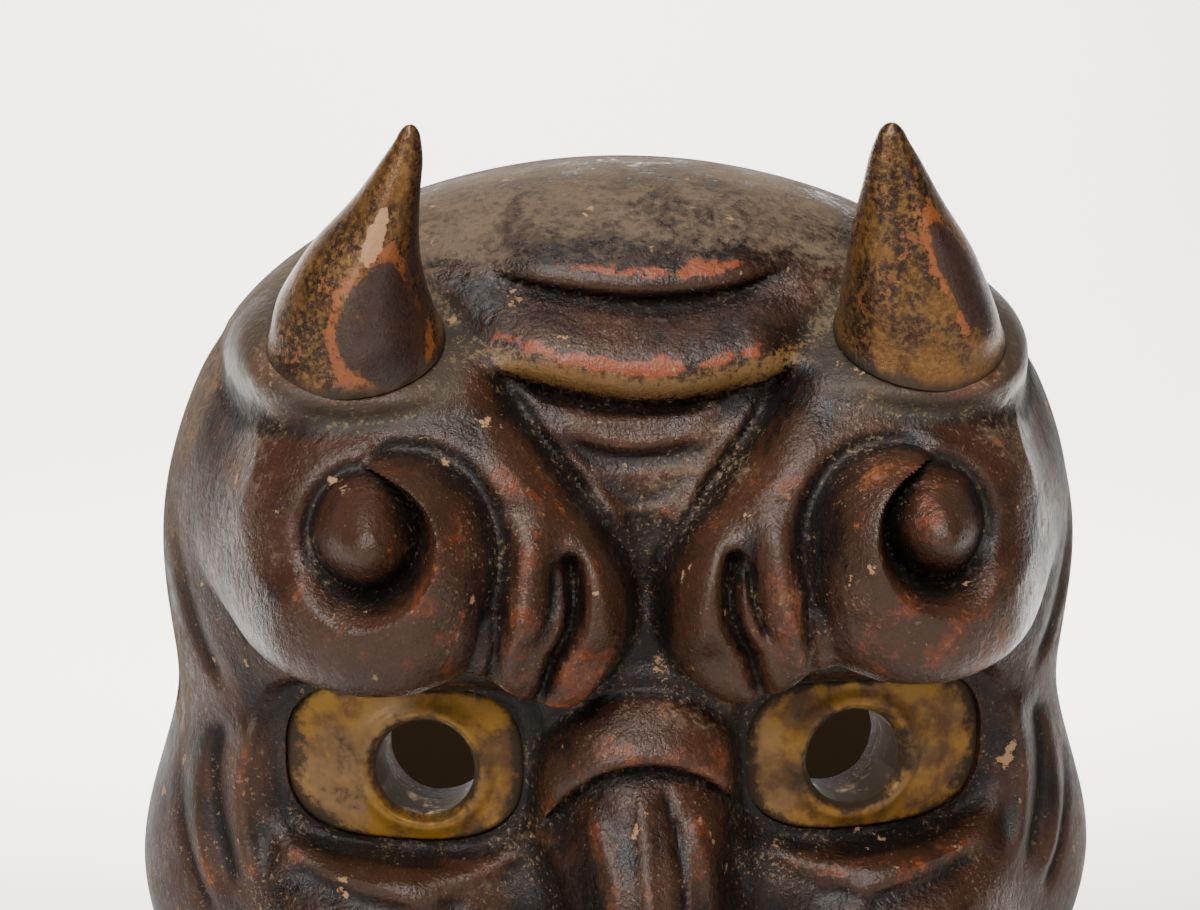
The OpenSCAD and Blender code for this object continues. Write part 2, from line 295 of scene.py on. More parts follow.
def scroll(X, z, crest_lift, knob_lift):
    """The spiral: a roll that comes up the inner side, over the top and ends as a knob."""
    dx, dz = KNOB[0] - X, z - KNOB[1]
    r = np.hypot(dx, dz)
    th = (np.degrees(np.arctan2(dz, dx)) + 200) % 360 - 200
    knob_r = table(th, [(-200, 8.7), (-150, 9.0), (-90, 8.9), (-50, 8.7), (0, 8.7), (45, 8.9), (75, 9.6),
                        (105, 9.4), (137, 8.9), (160, 8.7)])
    crest_r = table(th, [(-170, 12.6), (-142, 13.4), (-110, 14.2), (-73, 12.6), (-30, 11.7), (25, 11.1), (45, 10.6),
                         (65, 9.9), (85, 9.4), (105, 9.9)])
    outer_r = table(th, [(-150, 30), (-90, 29), (-53, 24.2), (-20, 22.0), (10, 19.6), (27, 18.0), (42, 16.0),
                         (62, 13.2), (83, 11.4), (105, 10.2), (137, 9.0), (160, 8.6)])
    crest = crest_lift * table(th, [(-165, 0.1), (-135, 0.55), (-100, 0.9), (-50, 1.0), (0, 0.95), (45, 0.72),
                                    (75, 0.45), (105, 0.15)])
    groove = -3.0 * smooth((th + 75) / 40)
    tube = smooth((th + 168) / 30) * smooth((98 - th) / 36)
    knob = (knob_lift + 2.2) * np.cos(0.5 * np.pi * np.clip(r / knob_r, 0, 1)) ** 1.1 - 2.2
    q_in = np.clip((crest_r - r) / np.maximum(crest_r - knob_r, 0.3), 0, 1)
    q_out = np.clip((r - crest_r) / np.maximum(outer_r - crest_r, 0.3), 0, 1)
    inside = crest + (-2.2 - crest) * q_in ** 1.35
    outside = groove + (crest - groove) * (1 - q_out ** 1.35)
    band = np.where(r < crest_r, inside, outside)
    past = np.clip(r - outer_r, 0, None)
    band = np.where(r > outer_r, groove * hill(past / 2.4), band)
    band = np.where(th > 40, band - 1.4 * smooth((th - 40) / 50) * smooth((r - knob_r) / 2) * hill((r - 10) / 4), band)
    calm = -2.2 * hill((r - knob_r) / 1.7)
    rest = tube * band + (1 - tube) * calm
    reach = 1 - smooth((r - 26) / 8)
    return np.where(r < knob_r, knob, rest) * reach


def lobes(X, z, side):
    """Two upright bulges between the scroll and the frown line, with a split crease."""
    return ridges(X, z, [
        ([(9.5, 50), (8.6, 42), (8.8, 33), (10, 23)], 3.6, 4.2, 4.2, 0.25),
        ([(19, 50), (19.4, 42), (20.6, 34), (22.8, 25)], 3.2, 3.4, 3.2, 0.3),
        ([(13.6, 43), (12.6, 37), (12.9, 31), (15.6, 25.4), (20.5, 20)], -4.2, 1.3, 1.6, 0.14),
        ([(15.6, 42), (15.9, 36.5), (17.2, 31), (20, 26.4)], -1.2 if side == LEFT else -2.2, 0.9, 1.0, 0.25),
        ([(24.4, 36), (25, 30), (27, 24.5)], -2.6, 1.2, 1.6, 0.3)])


def frown_line(X, z):
    """The groove between the frown panel and the brow, with its thin raised edge."""
    groove = ridge(X, z, V_LINE[:7], -1.9, 1.9, 2.1, fade=0.15)
    edge = ridge(X, z, [(24, 71.5), (15.4, 58.8), (9.4, 50.8), (4.6, 43.8), (1.4, 38), (0.4, 33)], 1.1, 1.4, 1.5,
                 fade=0.15)
    return groove + edge


def horn_moat(X, z):
    """A trench around the horn's base, with a low bank outside it."""
    r = np.hypot(X - HORN_SEAT[0], (z - HORN_SEAT[1]) / 0.62)
    return -1.5 * hill((r - 16.6) / 2.4) + 0.3 * hill((r - 23) / 4)


def horn_mound(X, z, depth):
    """How much wood is heaped up to the flat seat of a horn."""
    rise = 1 / math.tan(math.radians(90 - HORN_PITCH))
    plane, cap, soft = HORN_SEAT_DEPTH + 0.5 + rise * (HORN_SEAT[1] - z), 61.3, 1.5
    seat = -soft * np.logaddexp(-plane / soft, -cap / soft)
    reach = np.hypot((X - HORN_SEAT[0]) / 13.8, (z - HORN_SEAT[1]) / 7.6)
    lift = seat - depth
    lift = 0.5 * (lift + np.sqrt(lift * lift + 1.5))
    return smooth((2.1 - reach) / 1.15) * lift


def eye_bed(X, z, depth, side):
    """How far the wood around an eye plate rises or sinks to lie just proud of the plate's edge."""
    across, up = X - EYE_X[side], z - 1
    plate = (EYE_DEPTH - across * math.tan(math.radians(EYE_TURN)) - (across ** 2 + up ** 2) / (2 * EYE_DOME_R))
    reach = (np.abs(across / (EYE_W[side] / 2 + 1.5)) ** 3.4 + np.abs(up / (EYE_H / 2 + 1.5)) ** 3.4) ** (1 / 3.4)
    below_brow = smooth((BROW_BASE_Z + 3 - z) / 4)
    return smooth((1.16 - reach) / 0.22) * below_brow * (plate + 0.5 - depth)


def eye_socket(X, z):
    """The sunken eye field and the lids around it."""
    field = -4.5 * hill((X - 39) / 27, 6) * hill((z + 1) / 17, 6)
    lower = ridge(X, z, [(64, 10), (63, -3), (58, -11.5), (48, -15.2), (38, -16.2), (28, -15.6), (21.5, -10),
                         (18.5, 0), (18, 8)], 2.6, 3.0, 2.0, fade=0.12)
    bag = ridge(X, z, [(60, -17), (50, -20.5), (38, -21.5), (28, -20.5)], -1.3, 1.5, 1.5)
    return field + lower + bag


def temple(X, z):
    """Wrinkles that curl back from the outer corner of the eye, and the fold behind the brow."""
    return ridges(X, z, [
        ([(65.5, 9), (68.5, 0), (68.6, -11), (66, -23)], 2.6, 2.6, 1.9),
        ([(71.5, 7), (73.6, -2), (73, -12), (69.5, -24)], -2.0, 1.4, 1.4),
        ([(74.5, 4), (77.5, -6), (77, -16), (73, -28)], 2.2, 2.2, 1.8),
        ([(80.5, -3), (80.6, -12), (78, -22), (74, -32)], -1.8, 1.4, 1.6),
        ([(82.5, 54), (81.5, 42), (78.6, 30), (75, 18), (70, 10)], -2.6, 1.6, 1.8),
        ([(84.5, 52), (84, 41), (81.4, 29), (78, 17)], 1.2, 1.2, 1.2)])


def nose(x, z, lift):
    """Bridge, hooded root, wings and tip."""
    rise = table(z, [(-58, 0), (-53, 0.18), (-48, 0.66), (-42, 0.98), (-36, 1.0), (-26, 0.78), (-14, 0.47), (-4, 0.25),
                     (4, 0.16), (12, 0.08), (20, 0)])
    width = table(z, [(-50, 15), (-40, 15.5), (-30, 13.5), (-18, 13), (-4, 16), (8, 17), (20, 17)])
    bridge = lift * rise * hill(x / width, 2.6)
    lump = 4.6 * hill(np.hypot((x + 0.8) / 18.5, (z + 2) / 17.5), 5)
    rim = -1.6 * hill((np.hypot((x + 0.8) / 18.8, (z + 2) / 17.8) - 1) * 13) * smooth((z + 4) / 6)
    hood = fold(x, z, [(20, -13), (17.6, -5), (14, 0.8), (8, 5.6), (0, 7.4), (-8, 6), (-14, 1.4), (-18.6, -5),
                       (-21, -13)], 2.2, 2.4, 3.2, above=4, below=4.5, fade=0.18)
    pleats = ridges(x, z, [
        ([(-18, -7), (-14.4, -14), (-12, -23)], 1.5, 1.6, 1.6),
        ([(-10.6, -1), (-7.2, -11), (-6.4, -23)], 1.7, 1.7, 1.5),
        ([(-1.8, 2.6), (-1.4, -8), (-1, -22)], 1.2, 1.8, 1.2),
        ([(2, 2.4), (4.4, -7), (5, -23)], -1.4, 0.9, 1.3),
        ([(7.2, -1), (9, -10), (11.6, -23)], 1.7, 1.6, 1.6),
        ([(14, -5), (15, -13), (17, -23)], -1.2, 1.2, 1.2)])
    X = np.abs(x)
    wing = 13 * hill(np.hypot((X - 17) / 8.2, (z + 41) / 7.6), 2.6)
    cleft = ridge(X, z, [(11, -33), (12.4, -39), (11, -46)], -2.2, 1.6, 1.6)
    flare = ridge(X, z, [(19, -28), (26, -34), (28, -42), (25, -50)], -2.4, 2.0, 2.4)
    return bridge + lump + rim + hood + pleats + wing + cleft + flare


def mouth_distance(x, z):
    """About how far a point is outside the open mouth's edge; negative inside it."""
    u = x / (MOUTH_W / 2)
    v = (z - MOUTH_Z + MOUTH_SAG * u * u) / (MOUTH_H / 2)
    e = np.hypot(u, v) + 1e-6
    slope = np.hypot(u / (MOUTH_W / 2), v / (MOUTH_H / 2)) / e
    return (e - 1) / np.maximum(slope, 1e-4)


def lower_face(x, z):
    """Cheeks, lips, the folds beside them and the chin."""
    X = np.abs(x)
    m = mouth_distance(x, z)
    lips = 11.5 * hill((m - 4.2) / 5.0, 2.4) - 7 * smooth((1.2 - m) / 4)
    cheek = 12.5 * hill((X - 46) / 19, 2.6) * hill((z + 33) / 15, 2.4)
    edge = ridge(X, z, [(66, -20), (58, -14.4), (47, -16.5), (38, -20), (32, -27)], 1.6, 2.2, 2.8)
    laugh = fold(X, z, [(24, -27), (33, -38), (42, -52), (48, -67), (46, -82)][::-1], 3.0, 4.2, 2.8, above=8, below=5)
    jowl = ridge(X, z, [(58, -46), (60, -60), (56, -75)], -1.8, 3.0, 3.0)
    jaw = 5.0 * hill((X - 52) / 13) * hill((z + 78) / 13)
    chin = 23 * hill(x / 25, 2.6) * hill((z + 97.5) / 10.5, 2.4)
    cleft = ridge(x, z, [(0, -106), (0, -100), (0, -92)], -1.4, 2.2, 2.2)
    under_lip = ridge(x, z, [(24, -89), (12, -87.5), (0, -87), (-12, -87.5), (-24, -89)], -2.6, 2.5, 2.5)
    philtrum = ridge(x, z, [(0, -58), (0, -52)], -1.2, 1.6, 1.6)
    return lips + cheek + edge + laugh + jowl + jaw + chin + cleft + under_lip + philtrum


def carving(x, z, shape):
    """Everything that stands out of, or is cut into, the plain dome."""
    depth = forehead(x, z) + nose(x, z, shape.nose_lift / MM) + lower_face(x, z)
    for side in (LEFT, RIGHT):
        half = x * side > -6
        X, Z = (x * side)[half], z[half]
        part = (brow_body(X, Z, shape.brow_lift / MM) + frown_line(X, Z)
                + lobes(X, Z, side) * smooth((X - 0.5) / 3)
                + scroll(X, Z, shape.scroll_lift / MM, shape.knob_lift / MM)
                + horn_moat(X, Z) + eye_socket(X, Z) + temple(X, Z))
        depth[half] += part * smooth((X + 2.5) / 3.5)
    return depth


def plain_depth(rho, a, depth):
    """The dome under the carving: boxy at the crown, rounder towards the chin."""
    return depth * np.clip(1 - rho ** (3.4 + 0.8 * np.sin(a)), 0, None) ** 0.42


def even(n):
    """Grid coordinates that space the carved points evenly."""
    k = np.linspace(-1, 1, n)
    return k * (0.62 + 0.38 * k * k)


def disc(u, v):
    """Radius from 0 to 1 and angle of a point of the square grid laid over the mask."""
    x, y = u * np.sqrt(1 - v * v / 2), v * np.sqrt(1 - u * u / 2)
    return np.clip(np.hypot(x, y), 0, 1), np.arctan2(y, x)


def outside(u, v, shape):
    """Points of the carved front, in millimetres, with its relief above the plain dome."""
    t, a = disc(u, v)
    rho = np.sin(0.5 * np.pi * t) ** 1.05
    r = rho * outline_radius(np.degrees(a))
    x, z = r * np.cos(a), r * np.sin(a)
    relief = (1 - rho ** 10) * carving(x, z, shape)
    depth = plain_depth(rho, a, FACE_DEPTH) + relief
    depth = depth + horn_mound(np.abs(x), z, depth)
    for side in (LEFT, RIGHT):
        depth = depth + eye_bed(x * side, z, depth, side)
    depth = np.where(t > 0.9999, 0.0, depth)
    return x, -depth, z - brow_droop(np.abs(x), z)


def inside(u, v):
    """Points of the hollow, gouged in rows."""
    t, a = disc(u, v)
    rho = np.sin(0.5 * np.pi * t) ** 1.05
    r = rho * (outline_radius(np.degrees(a)) - WALL)
    x, z = r * np.cos(a), r * np.sin(a)
    hollow = 14 * hill(x / 14) * hill((z + 30) / 22)
    gouges = 0.45 * np.abs(np.sin(x / 3.1 + 0.7 * np.sin(z / 9))) * np.abs(np.sin(z / 4.6 + np.sin(x / 7)))
    depth = plain_depth(rho, a, FACE_DEPTH - WALL - SEAT_WOOD) + (1 - rho ** 10) * (hollow - gouges)
    return x, -np.where(t > 0.9999, 0.0, depth), z


# ---------------------------------------------------------------- meshes


def new_mesh(name, points, faces):
    """An object from points in millimetres."""
    mesh = bpy.data.meshes.new(name)
    mesh.from_pydata((np.asarray(points, float) * MM).tolist(), [], faces)
    mesh.validate()
    mesh.update()
    piece = bpy.data.objects.new(name, mesh)
    bpy.context.scene.collection.objects.link(piece)
    return piece


def grid_faces(nu, nv, start=0, flip=False):
    """Quads of a grid of nu by nv points."""
    i, j = np.meshgrid(np.arange(nu - 1), np.arange(nv - 1), indexing="ij")
    a = (start + i * nv + j).ravel()
    quads = np.stack([a, a + nv, a + nv + 1, a + 1], 1)
    return (quads[:, ::-1] if flip else quads).tolist()


def grid_edge(nu, nv, start=0):
    """Indices around the edge of a grid, once round."""
    index = start + np.arange(nu * nv).reshape(nu, nv)
    return np.concatenate([index[:-1, 0], index[-1, :-1], index[:0:-1, -1], index[0, :0:-1]]).tolist()


def hollow_form(shape, cells_u, cells_v, step):
    """The whole mask as one closed form; the hollow has one cell for `step` cells of the front."""
    nu, nv = cells_u + 1, cells_v + 1
    u, v = np.meshgrid(even(nu), even(nv), indexing="ij")
    front = np.stack(outside(u, v, shape), -1).reshape(-1, 3)
    mu, mv = cells_u // step + 1, cells_v // step + 1
    u, v = np.meshgrid(even(mu), even(mv), indexing="ij")
    back = np.stack(inside(u, v), -1).reshape(-1, 3)
    faces = grid_faces(nu, nv) + grid_faces(mu, mv, nu * nv, flip=True)
    outer, inner = grid_edge(nu, nv), grid_edge(mu, mv, nu * nv)
    count = len(inner)
    for k in range(count):
        a, b = inner[k], inner[(k + 1) % count]
        steps = [outer[(k * step + s) % len(outer)] for s in range(step + 1)]
        half = step // 2
        faces += [[steps[s + 1], steps[s], a] for s in range(half)]
        faces += [[steps[half], a, b]]
        faces += [[steps[s + 1], steps[s], b] for s in range(half, step)]
    return np.vstack([front, back]), faces


def front_block(shape, u_range, v_range, nu, nv, back_depth):
    """A fine patch of the front made solid down to a flat back."""
    u, v = np.meshgrid(np.linspace(*u_range, nu), np.linspace(*v_range, nv), indexing="ij")
    front = np.stack(outside(u, v, shape), -1).reshape(-1, 3)
    faces = grid_faces(nu, nv)
    edge = grid_edge(nu, nv)
    back = front[edge].copy()
    back[:, 1] = -back_depth
    start = len(front)
    count = len(edge)
    for k in range(count):
        n = (k + 1) % count
        faces.append([edge[n], edge[k], start + k, start + n])
    faces.append([start + k for k in range(count)])
    return np.vstack([front, back]), faces


def tube_faces(rings, sides, start=0):
    """Quads of a tube of rings + 1 loops with `sides` points each."""
    faces = []
    for k in range(rings):
        for j in range(sides):
            a, b = start + k * sides + j, start + k * sides + (j + 1) % sides
            faces.append([a, b, b + sides, a + sides])
    return faces


def end_faces(rings, sides, start=0):
    """The two flat ends of such a tube."""
    return [list(range(start, start + sides))[::-1],
            list(range(start + rings * sides, start + (rings + 1) * sides))]


def prism(name, outline, low, high, place):
    """An extruded outline; `place` takes (across, up, along) to the mask's millimetres."""
    points = [place(*p, end) for end in (low, high) for p in outline]
    tool = new_mesh(name, points, end_faces(1, len(outline)) + tube_faces(1, len(outline)))
    face_outwards(tool)
    return tool


def face_outwards(piece):
    """Turn every face's normal outwards."""
    bm = bmesh.new()
    bm.from_mesh(piece.data)
    bmesh.ops.recalc_face_normals(bm, faces=bm.faces)
    bm.to_mesh(piece.data)
    bm.free()


def rod(name, start, end, radius, sides=48):
    """A straight round tool or pin between two points in millimetres."""
    start, end = Vector(start), Vector(end)
    axis = (end - start).normalized()
    side = axis.orthogonal().normalized()
    other = axis.cross(side)
    points = []
    for centre in (start, end):
        for k in range(sides):
            turn = 2 * math.pi * k / sides
            points.append(centre + radius * (math.cos(turn) * side + math.sin(turn) * other))
    return new_mesh(name, points, end_faces(1, sides) + tube_faces(1, sides))


def carve(piece, tools, operation="DIFFERENCE"):
    """Cut (or keep only) the tools' space, then delete the tools."""
    for tool in tools:
        cut = piece.modifiers.new("cut", "BOOLEAN")
        cut.operation = operation
        cut.solver = "MANIFOLD"
        cut.object = tool
        depsgraph = bpy.context.evaluated_depsgraph_get()
        result = bpy.data.meshes.new_from_object(piece.evaluated_get(depsgraph))
        if len(result.polygons) < 12:
            raise RuntimeError(f"{piece.name} lost its faces when {tool.name} was cut")
        piece.modifiers.clear()
        old = piece.data
        piece.data = result
        bpy.data.meshes.remove(old)
        bpy.data.objects.remove(tool)


def finish_surface(piece, sharp_degrees=42.0):
    """Smooth shading with hard edges kept."""
    piece.data.shade_smooth()
    piece.data.set_sharp_from_angle(angle=math.radians(sharp_degrees))


# ---------------------------------------------------------------- wear, and the hollows that get painted shade, stored on the points


def blur(field, cells):
    """Gaussian blur of a grid."""
    reach = max(1, int(3 * cells))
    kernel = hill(np.arange(-reach, reach + 1) / (1.414 * cells))
    kernel /= kernel.sum()
    out = np.pad(field, reach, mode="edge")
    out = np.apply_along_axis(lambda row: np.convolve(row, kernel, "valid"), 0, out)
    return np.apply_along_axis(lambda row: np.convolve(row, kernel, "valid"), 1, out)


class WearMap:
    """Where the carving is proud or hollow, looked up at any point of a piece."""

    def __init__(self, shape):
        nu, nv = (240, 300)
        u, v = np.meshgrid(np.linspace(-0.99, 0.99, nu), np.linspace(-0.99, 0.99, nv), indexing="ij")
        x, y, z = outside(u, v, shape)
        depth = -y
        spacing = 177 * 1.3 / nu
        fine = depth - blur(depth, 1.5 / spacing)
        broad = depth - blur(depth, 4.0 / spacing)
        slope = np.hypot(*np.gradient(depth)) / spacing
        tame = 1 / (1 + 0.25 * slope)
        self.proud = np.clip((fine * 1.6 + broad * 0.35) * tame, 0, 1.2).ravel()
        self.hollow = np.clip((-fine * 1.3 - broad * 0.5) * tame, 0, 1.5).ravel()
        points = np.stack([x, y, z], -1).reshape(-1, 3)
        self.tree = kdtree.KDTree(len(points))
        for k, p in enumerate(points.tolist()):
            self.tree.insert(p, k)
        self.tree.balance()

    def paint(self, piece):
        """Store on the piece's points where it is proud, hollow, dusty, grimy, gold, rubbed red and matte."""
        points = piece.data.vertices
        where = np.empty(len(points) * 3)
        points.foreach_get("co", where)
        where = where.reshape(-1, 3) / MM
        nearest = [self.tree.find(p) for p in where.tolist()]
        index = np.array([n[1] for n in nearest])
        off = np.array([n[2] for n in nearest])
        close = hill(off / 3.0)
        x, y, z = where.T
        crown = smooth((z - 74) / 14) * (1 - 0.75 * hill(x / 30, 4) * smooth((90 - z) / 8))
        rear = smooth((38 + y) / 20) * smooth((z + 30) / 50) * np.where(x < 0, 1.0, 0.45)
        lip, _ = beside(x, z, RIDGE_TWO, 12)
        moats = sum(hill((np.hypot(x - s * HORN_SEAT[0], (z - HORN_SEAT[1]) / 0.62) - 16) / 5) for s in (LEFT, RIGHT))
        store(piece, "proud", self.proud[index] * close)
        store(piece, "hollow", self.hollow[index] * close)
        store(piece, "dusty", np.clip(crown + 0.85 * rear, 0, 1) * close)
        store(piece, "grimy", np.clip(moats, 0, 1) * close)
        store(piece, "gold", hill((lip - 3.6) / 3.2) * hill(x / 30, 6) * close)
        upper, _ = beside(x, z, RIDGE_ONE, 12)
        rubbed = hill((lip - 0.2) / 1.3) * hill(x / 25, 6) + hill((upper - 0.2) / 1.4) * hill(x / 22, 6)
        store(piece, "rubbed", np.clip(rubbed, 0, 1) * close)
        store(piece, "matte", np.maximum(1 - close, 0.75 * smooth((np.abs(x) - 60) / 20)))


def store(piece, name, values):
    """A number on every point, for the materials."""
    layer = piece.data.attributes.get(name) or piece.data.attributes.new(name, "FLOAT", "POINT")
    layer.data.foreach_set("value", np.asarray(values, np.float32))


# ---------------------------------------------------------------- shader maths


class Wire:
    """A value socket that arithmetic works on."""

    def __init__(self, paint, socket):
        self.paint = paint
        self.socket = socket

    def math(self, operation, *values):
        return self.paint.node("ShaderNodeMath", {"operation": operation}, dict(enumerate(values)))

    def __add__(self, other):
        return self.math("ADD", self, other)

    def __sub__(self, other):
        return self.math("SUBTRACT", self, other)

    def __mul__(self, other):
        return self.math("MULTIPLY", self, other)

    __radd__ = __add__
    __rmul__ = __mul__

    def __rsub__(self, other):
        return self.math("SUBTRACT", other, self)

    def step(self, low, high):
        """0 below `low` and 1 above `high`, smooth between; the other way round if low > high."""
        return self.paint.node("ShaderNodeMapRange", {"interpolation_type": "SMOOTHSTEP"},
                               {"Value": self, "From Min": low, "From Max": high})


class Paint:
    """The node tree of one material."""

    def __init__(self, name):
        self.material = bpy.data.materials.new(name)
        self.material.use_nodes = True
        self.tree = self.material.node_tree
        self.tree.nodes.clear()
        self.place = self.node("ShaderNodeTexCoord", {}, {}, "Object")

    def node(self, kind, settings, inputs, output=0):
        """Add a node: its settings first, then the values or wires of its sockets."""
        node = self.tree.nodes.new(kind)
        for key, value in settings.items():
            setattr(node, key, value)
        for key, value in inputs.items():
            socket = node.inputs[key]
            if isinstance(value, Wire):
                self.tree.links.new(value.socket, socket)
            else:
                socket.default_value = (*value, 1.0) if socket.type == "RGBA" and len(value) == 3 else value
        return Wire(self, node.outputs[output])

    def mix(self, factor, low, high):
        """Blend two colours."""
        return self.node("ShaderNodeMix", {"data_type": "RGBA"}, {0: factor, 6: low, 7: high}, 2)

    def noise(self, scale, detail=3.0, rough=0.55, stretch=None, warp=0.0):
        """Cloudy value from 0 to 1; `scale` is in cells per metre."""
        where = self.place
        if stretch:
            where = self.node("ShaderNodeMapping", {}, {"Vector": where, "Scale": stretch})
        return self.node("ShaderNodeTexNoise", {}, {"Vector": where, "Scale": scale, "Detail": detail,
                                                    "Roughness": rough, "Distortion": warp})

    def stored(self, name):
        """A number stored on the points."""
        return self.node("ShaderNodeAttribute", {"attribute_name": name}, {}, "Fac")

    def bump(self, height, strength, distance):
        """Relief of `distance` metres for the Normal socket."""
        return self.node("ShaderNodeBump", {}, {"Height": height, "Strength": strength, "Distance": distance})

    def surface(self, **inputs):
        """Finish with one principled shader."""
        shader = self.node("ShaderNodeBsdfPrincipled", {}, {k.replace("_", " "): v for k, v in inputs.items()})
        output = self.tree.nodes.new("ShaderNodeOutputMaterial")
        self.tree.links.new(shader.socket, output.inputs["Surface"])
        return self.material


# ---------------------------------------------------------------- finishes


def lacquer(colours):
    """Old dark red-brown lacquer: worn red on the edges, painted shade in the hollows, dusty on the crown, gold specks,
    chips to the wood.
    """
    p = Paint("lacquered_wood")
    proud, hollow, dusty, grimy, gold, rubbed, matte = (
        p.stored(name) for name in ("proud", "hollow", "dusty", "grimy", "gold", "rubbed", "matte"))
    cloud = p.noise(30, 4, 0.6)
    patch = p.noise(62, 4, 0.62, warp=0.6)
    mottle = p.noise(150, 5, 0.65)
    fine = p.noise(620, 4, 0.7)
    grit = p.noise(1900, 2, 0.6)
    grains = p.noise(1150, 3, 0.75)
    # thick lacquer over the open surfaces, from near black to red-brown
    base = p.mix((cloud * 0.6 + patch * 0.4).step(0.40, 0.60), colours.lacquer_dark, colours.lacquer_brown)
    base = p.mix(mottle.step(0.45, 0.72) * 0.45, base, (0.070, 0.026, 0.013))
    # painted shade: the carving's hollows darkened to near black
    base = p.mix(hollow.step(0.1, 0.8) * 0.85, base, (0.006, 0.0040, 0.003))
    # crests rubbed a little lighter, and worn to the red undercoat in short streaks
    base = p.mix((proud + (patch - 0.5) * 0.8).step(0.2, 1.0) * 0.5, base, (0.080, 0.036, 0.020))
    worn = (proud * 0.55 + (patch - 0.5) * 1.7 + (mottle - 0.5) * 1.6 + (fine - 0.5) * 0.8).step(0.70, 0.88)
    base = p.mix(worn * 0.7, base, colours.lacquer_red)
    bright = (proud * 0.35 + (mottle - 0.5) * 2.6 + (fine - 0.5) * 1.6 + (patch - 0.5)).step(0.86, 0.98)
    base = p.mix(bright * 0.75, base, (0.33, 0.095, 0.024))
    # grey-brown dust that has taken the shine off the crown and the temples
    dust = (dusty + (cloud - 0.5) * 1.7 + (patch - 0.5) * 1.5 + (mottle - 0.5) * 1.7 + (fine - 0.5) * 1.6
            + (grains - 0.5) * 1.0).step(0.30, 1.10)
    base = p.mix(dust * 0.88, base, p.mix((patch * 0.5 + fine * 0.5).step(0.42, 0.58), (0.080, 0.054, 0.037),
                                          colours.dust))
    base = p.mix((grimy + (mottle - 0.5)).step(0.35, 0.9) * 0.6, base, (0.060, 0.050, 0.036))
    # gold dust: thick on the forehead's lip, thin in the hollows, a few specks everywhere
    base = p.mix((gold + (fine - 0.5) * 1.4 + (grains - 0.5) * 1.6).step(0.45, 0.85) * 0.75, base,
                 (0.215, 0.115, 0.034))
    base = p.mix((rubbed * 0.9 + (mottle - 0.5) * 2.6 + (patch - 0.5) * 1.4).step(0.5, 0.78) * 0.85, base,
                 (0.27, 0.062, 0.022))
    silt = (hollow * 0.27 + dusty * 0.2 + grimy * 0.4 + (grains - 0.5) * 2.2 + (mottle - 0.5) * 1.3).step(0.55, 0.80)
    base = p.mix(silt * 0.62, base, (0.190, 0.135, 0.066))
    specks = ((grains - 0.5) * 1.5 + (grit - 0.5) * 1.1 + (patch - 0.5) * 0.9).step(0.26, 0.40)
    base = p.mix(specks * 0.7, base, (0.240, 0.165, 0.095))
    # small chips down to the wood
    chips = (fine * 0.5 + p.noise(170, 2, 0.5) * 0.95).step(0.945, 0.96)
    base = p.mix(chips * 0.8, base, colours.wood)
    rough = 0.24 + dust * 0.40 + grimy * 0.25 + (fine - 0.5) * 0.35 + (mottle - 0.5) * 0.3 + hollow.step(0.2, 1.0) * 0.2
    strokes = p.noise(420, 3, 0.6, stretch=(1.0, 1.0, 0.4))
    relief = p.bump(fine * 0.6 + grains * 0.45 + mottle * 0.9 + strokes * 0.5 - chips * 0.7 - worn * 0.2, 0.7, 0.0006)
    return p.surface(Base_Color=base, Roughness=rough + chips * 0.3 + matte * 0.5, Normal=relief,
                     Specular_IOR_Level=0.40)


def gilt_horn(colours):
    """Gold dust over an orange-red ground, worn to a dark facet in front, with painted shade down one side, soiling and
    painted shade at the foot, and one chip to the wood.
    """
    p = Paint("gilt_horn")
    cloud = p.noise(60, 4, 0.6, stretch=(1.0, 1.0, 0.45))
    mottle = p.noise(190, 5, 0.7, stretch=(1.0, 1.0, 0.6))
    fine = p.noise(800, 4, 0.7)
    grains = p.noise(1300, 3, 0.75)
    facet, edge, chip, foot = (p.stored(name) for name in ("facet", "edge", "chip", "grime_and_shade"))
    base = p.mix((cloud * 0.6 + mottle * 0.4).step(0.44, 0.56), colours.gilt, (0.040, 0.019, 0.012))
    base = p.mix((fine * 0.5 + grains * 0.5).step(0.46, 0.60) * 0.6, base, (0.320, 0.170, 0.045))
    red = (edge * 0.5 + (mottle - 0.5) * 2.8 + (cloud - 0.5) * 1.8 + (fine - 0.5) * 1.3).step(0.34, 0.60)
    base = p.mix(red * 0.85, base, colours.gilt_red)
    # the worn dark facet, plus painted shade: a darker band down the side to the viewer's right
    dark = (facet * 0.85 + (mottle - 0.5) * 2.2 + (cloud - 0.5) * 1.8 + (fine - 0.5) * 0.9).step(0.42, 0.62)
    base = p.mix(dark * 0.92, base, (0.034, 0.017, 0.014))
    bare = (chip + (fine - 0.5) * 0.9 + (mottle - 0.5) * 0.9).step(0.5, 0.56)
    base = p.mix(bare, base, (0.43, 0.235, 0.110))
    # soiling and painted shade at the foot, where the horn meets the head
    dirt_and_shade = (foot * 1.3 + (mottle - 0.5) * 1.2 + (fine - 0.5) * 0.6).step(0.45, 1.0)
    base = p.mix(dirt_and_shade * 0.85, base, (0.040, 0.031, 0.022))
    rough = 0.30 + (fine - 0.5) * 0.4 + bare * 0.3 + dirt_and_shade * 0.25
    relief = p.bump(fine * 0.6 + grains * 0.5 + mottle * 0.8 - red * 0.3 - bare * 0.9 - dark * 0.2, 0.6, 0.0005)
    return p.surface(Base_Color=base, Roughness=rough, Metallic=(1 - red) * (1 - bare) * (1 - dark) * 0.45,
                     Normal=relief, Coat_Weight=0.12, Coat_Roughness=0.2)


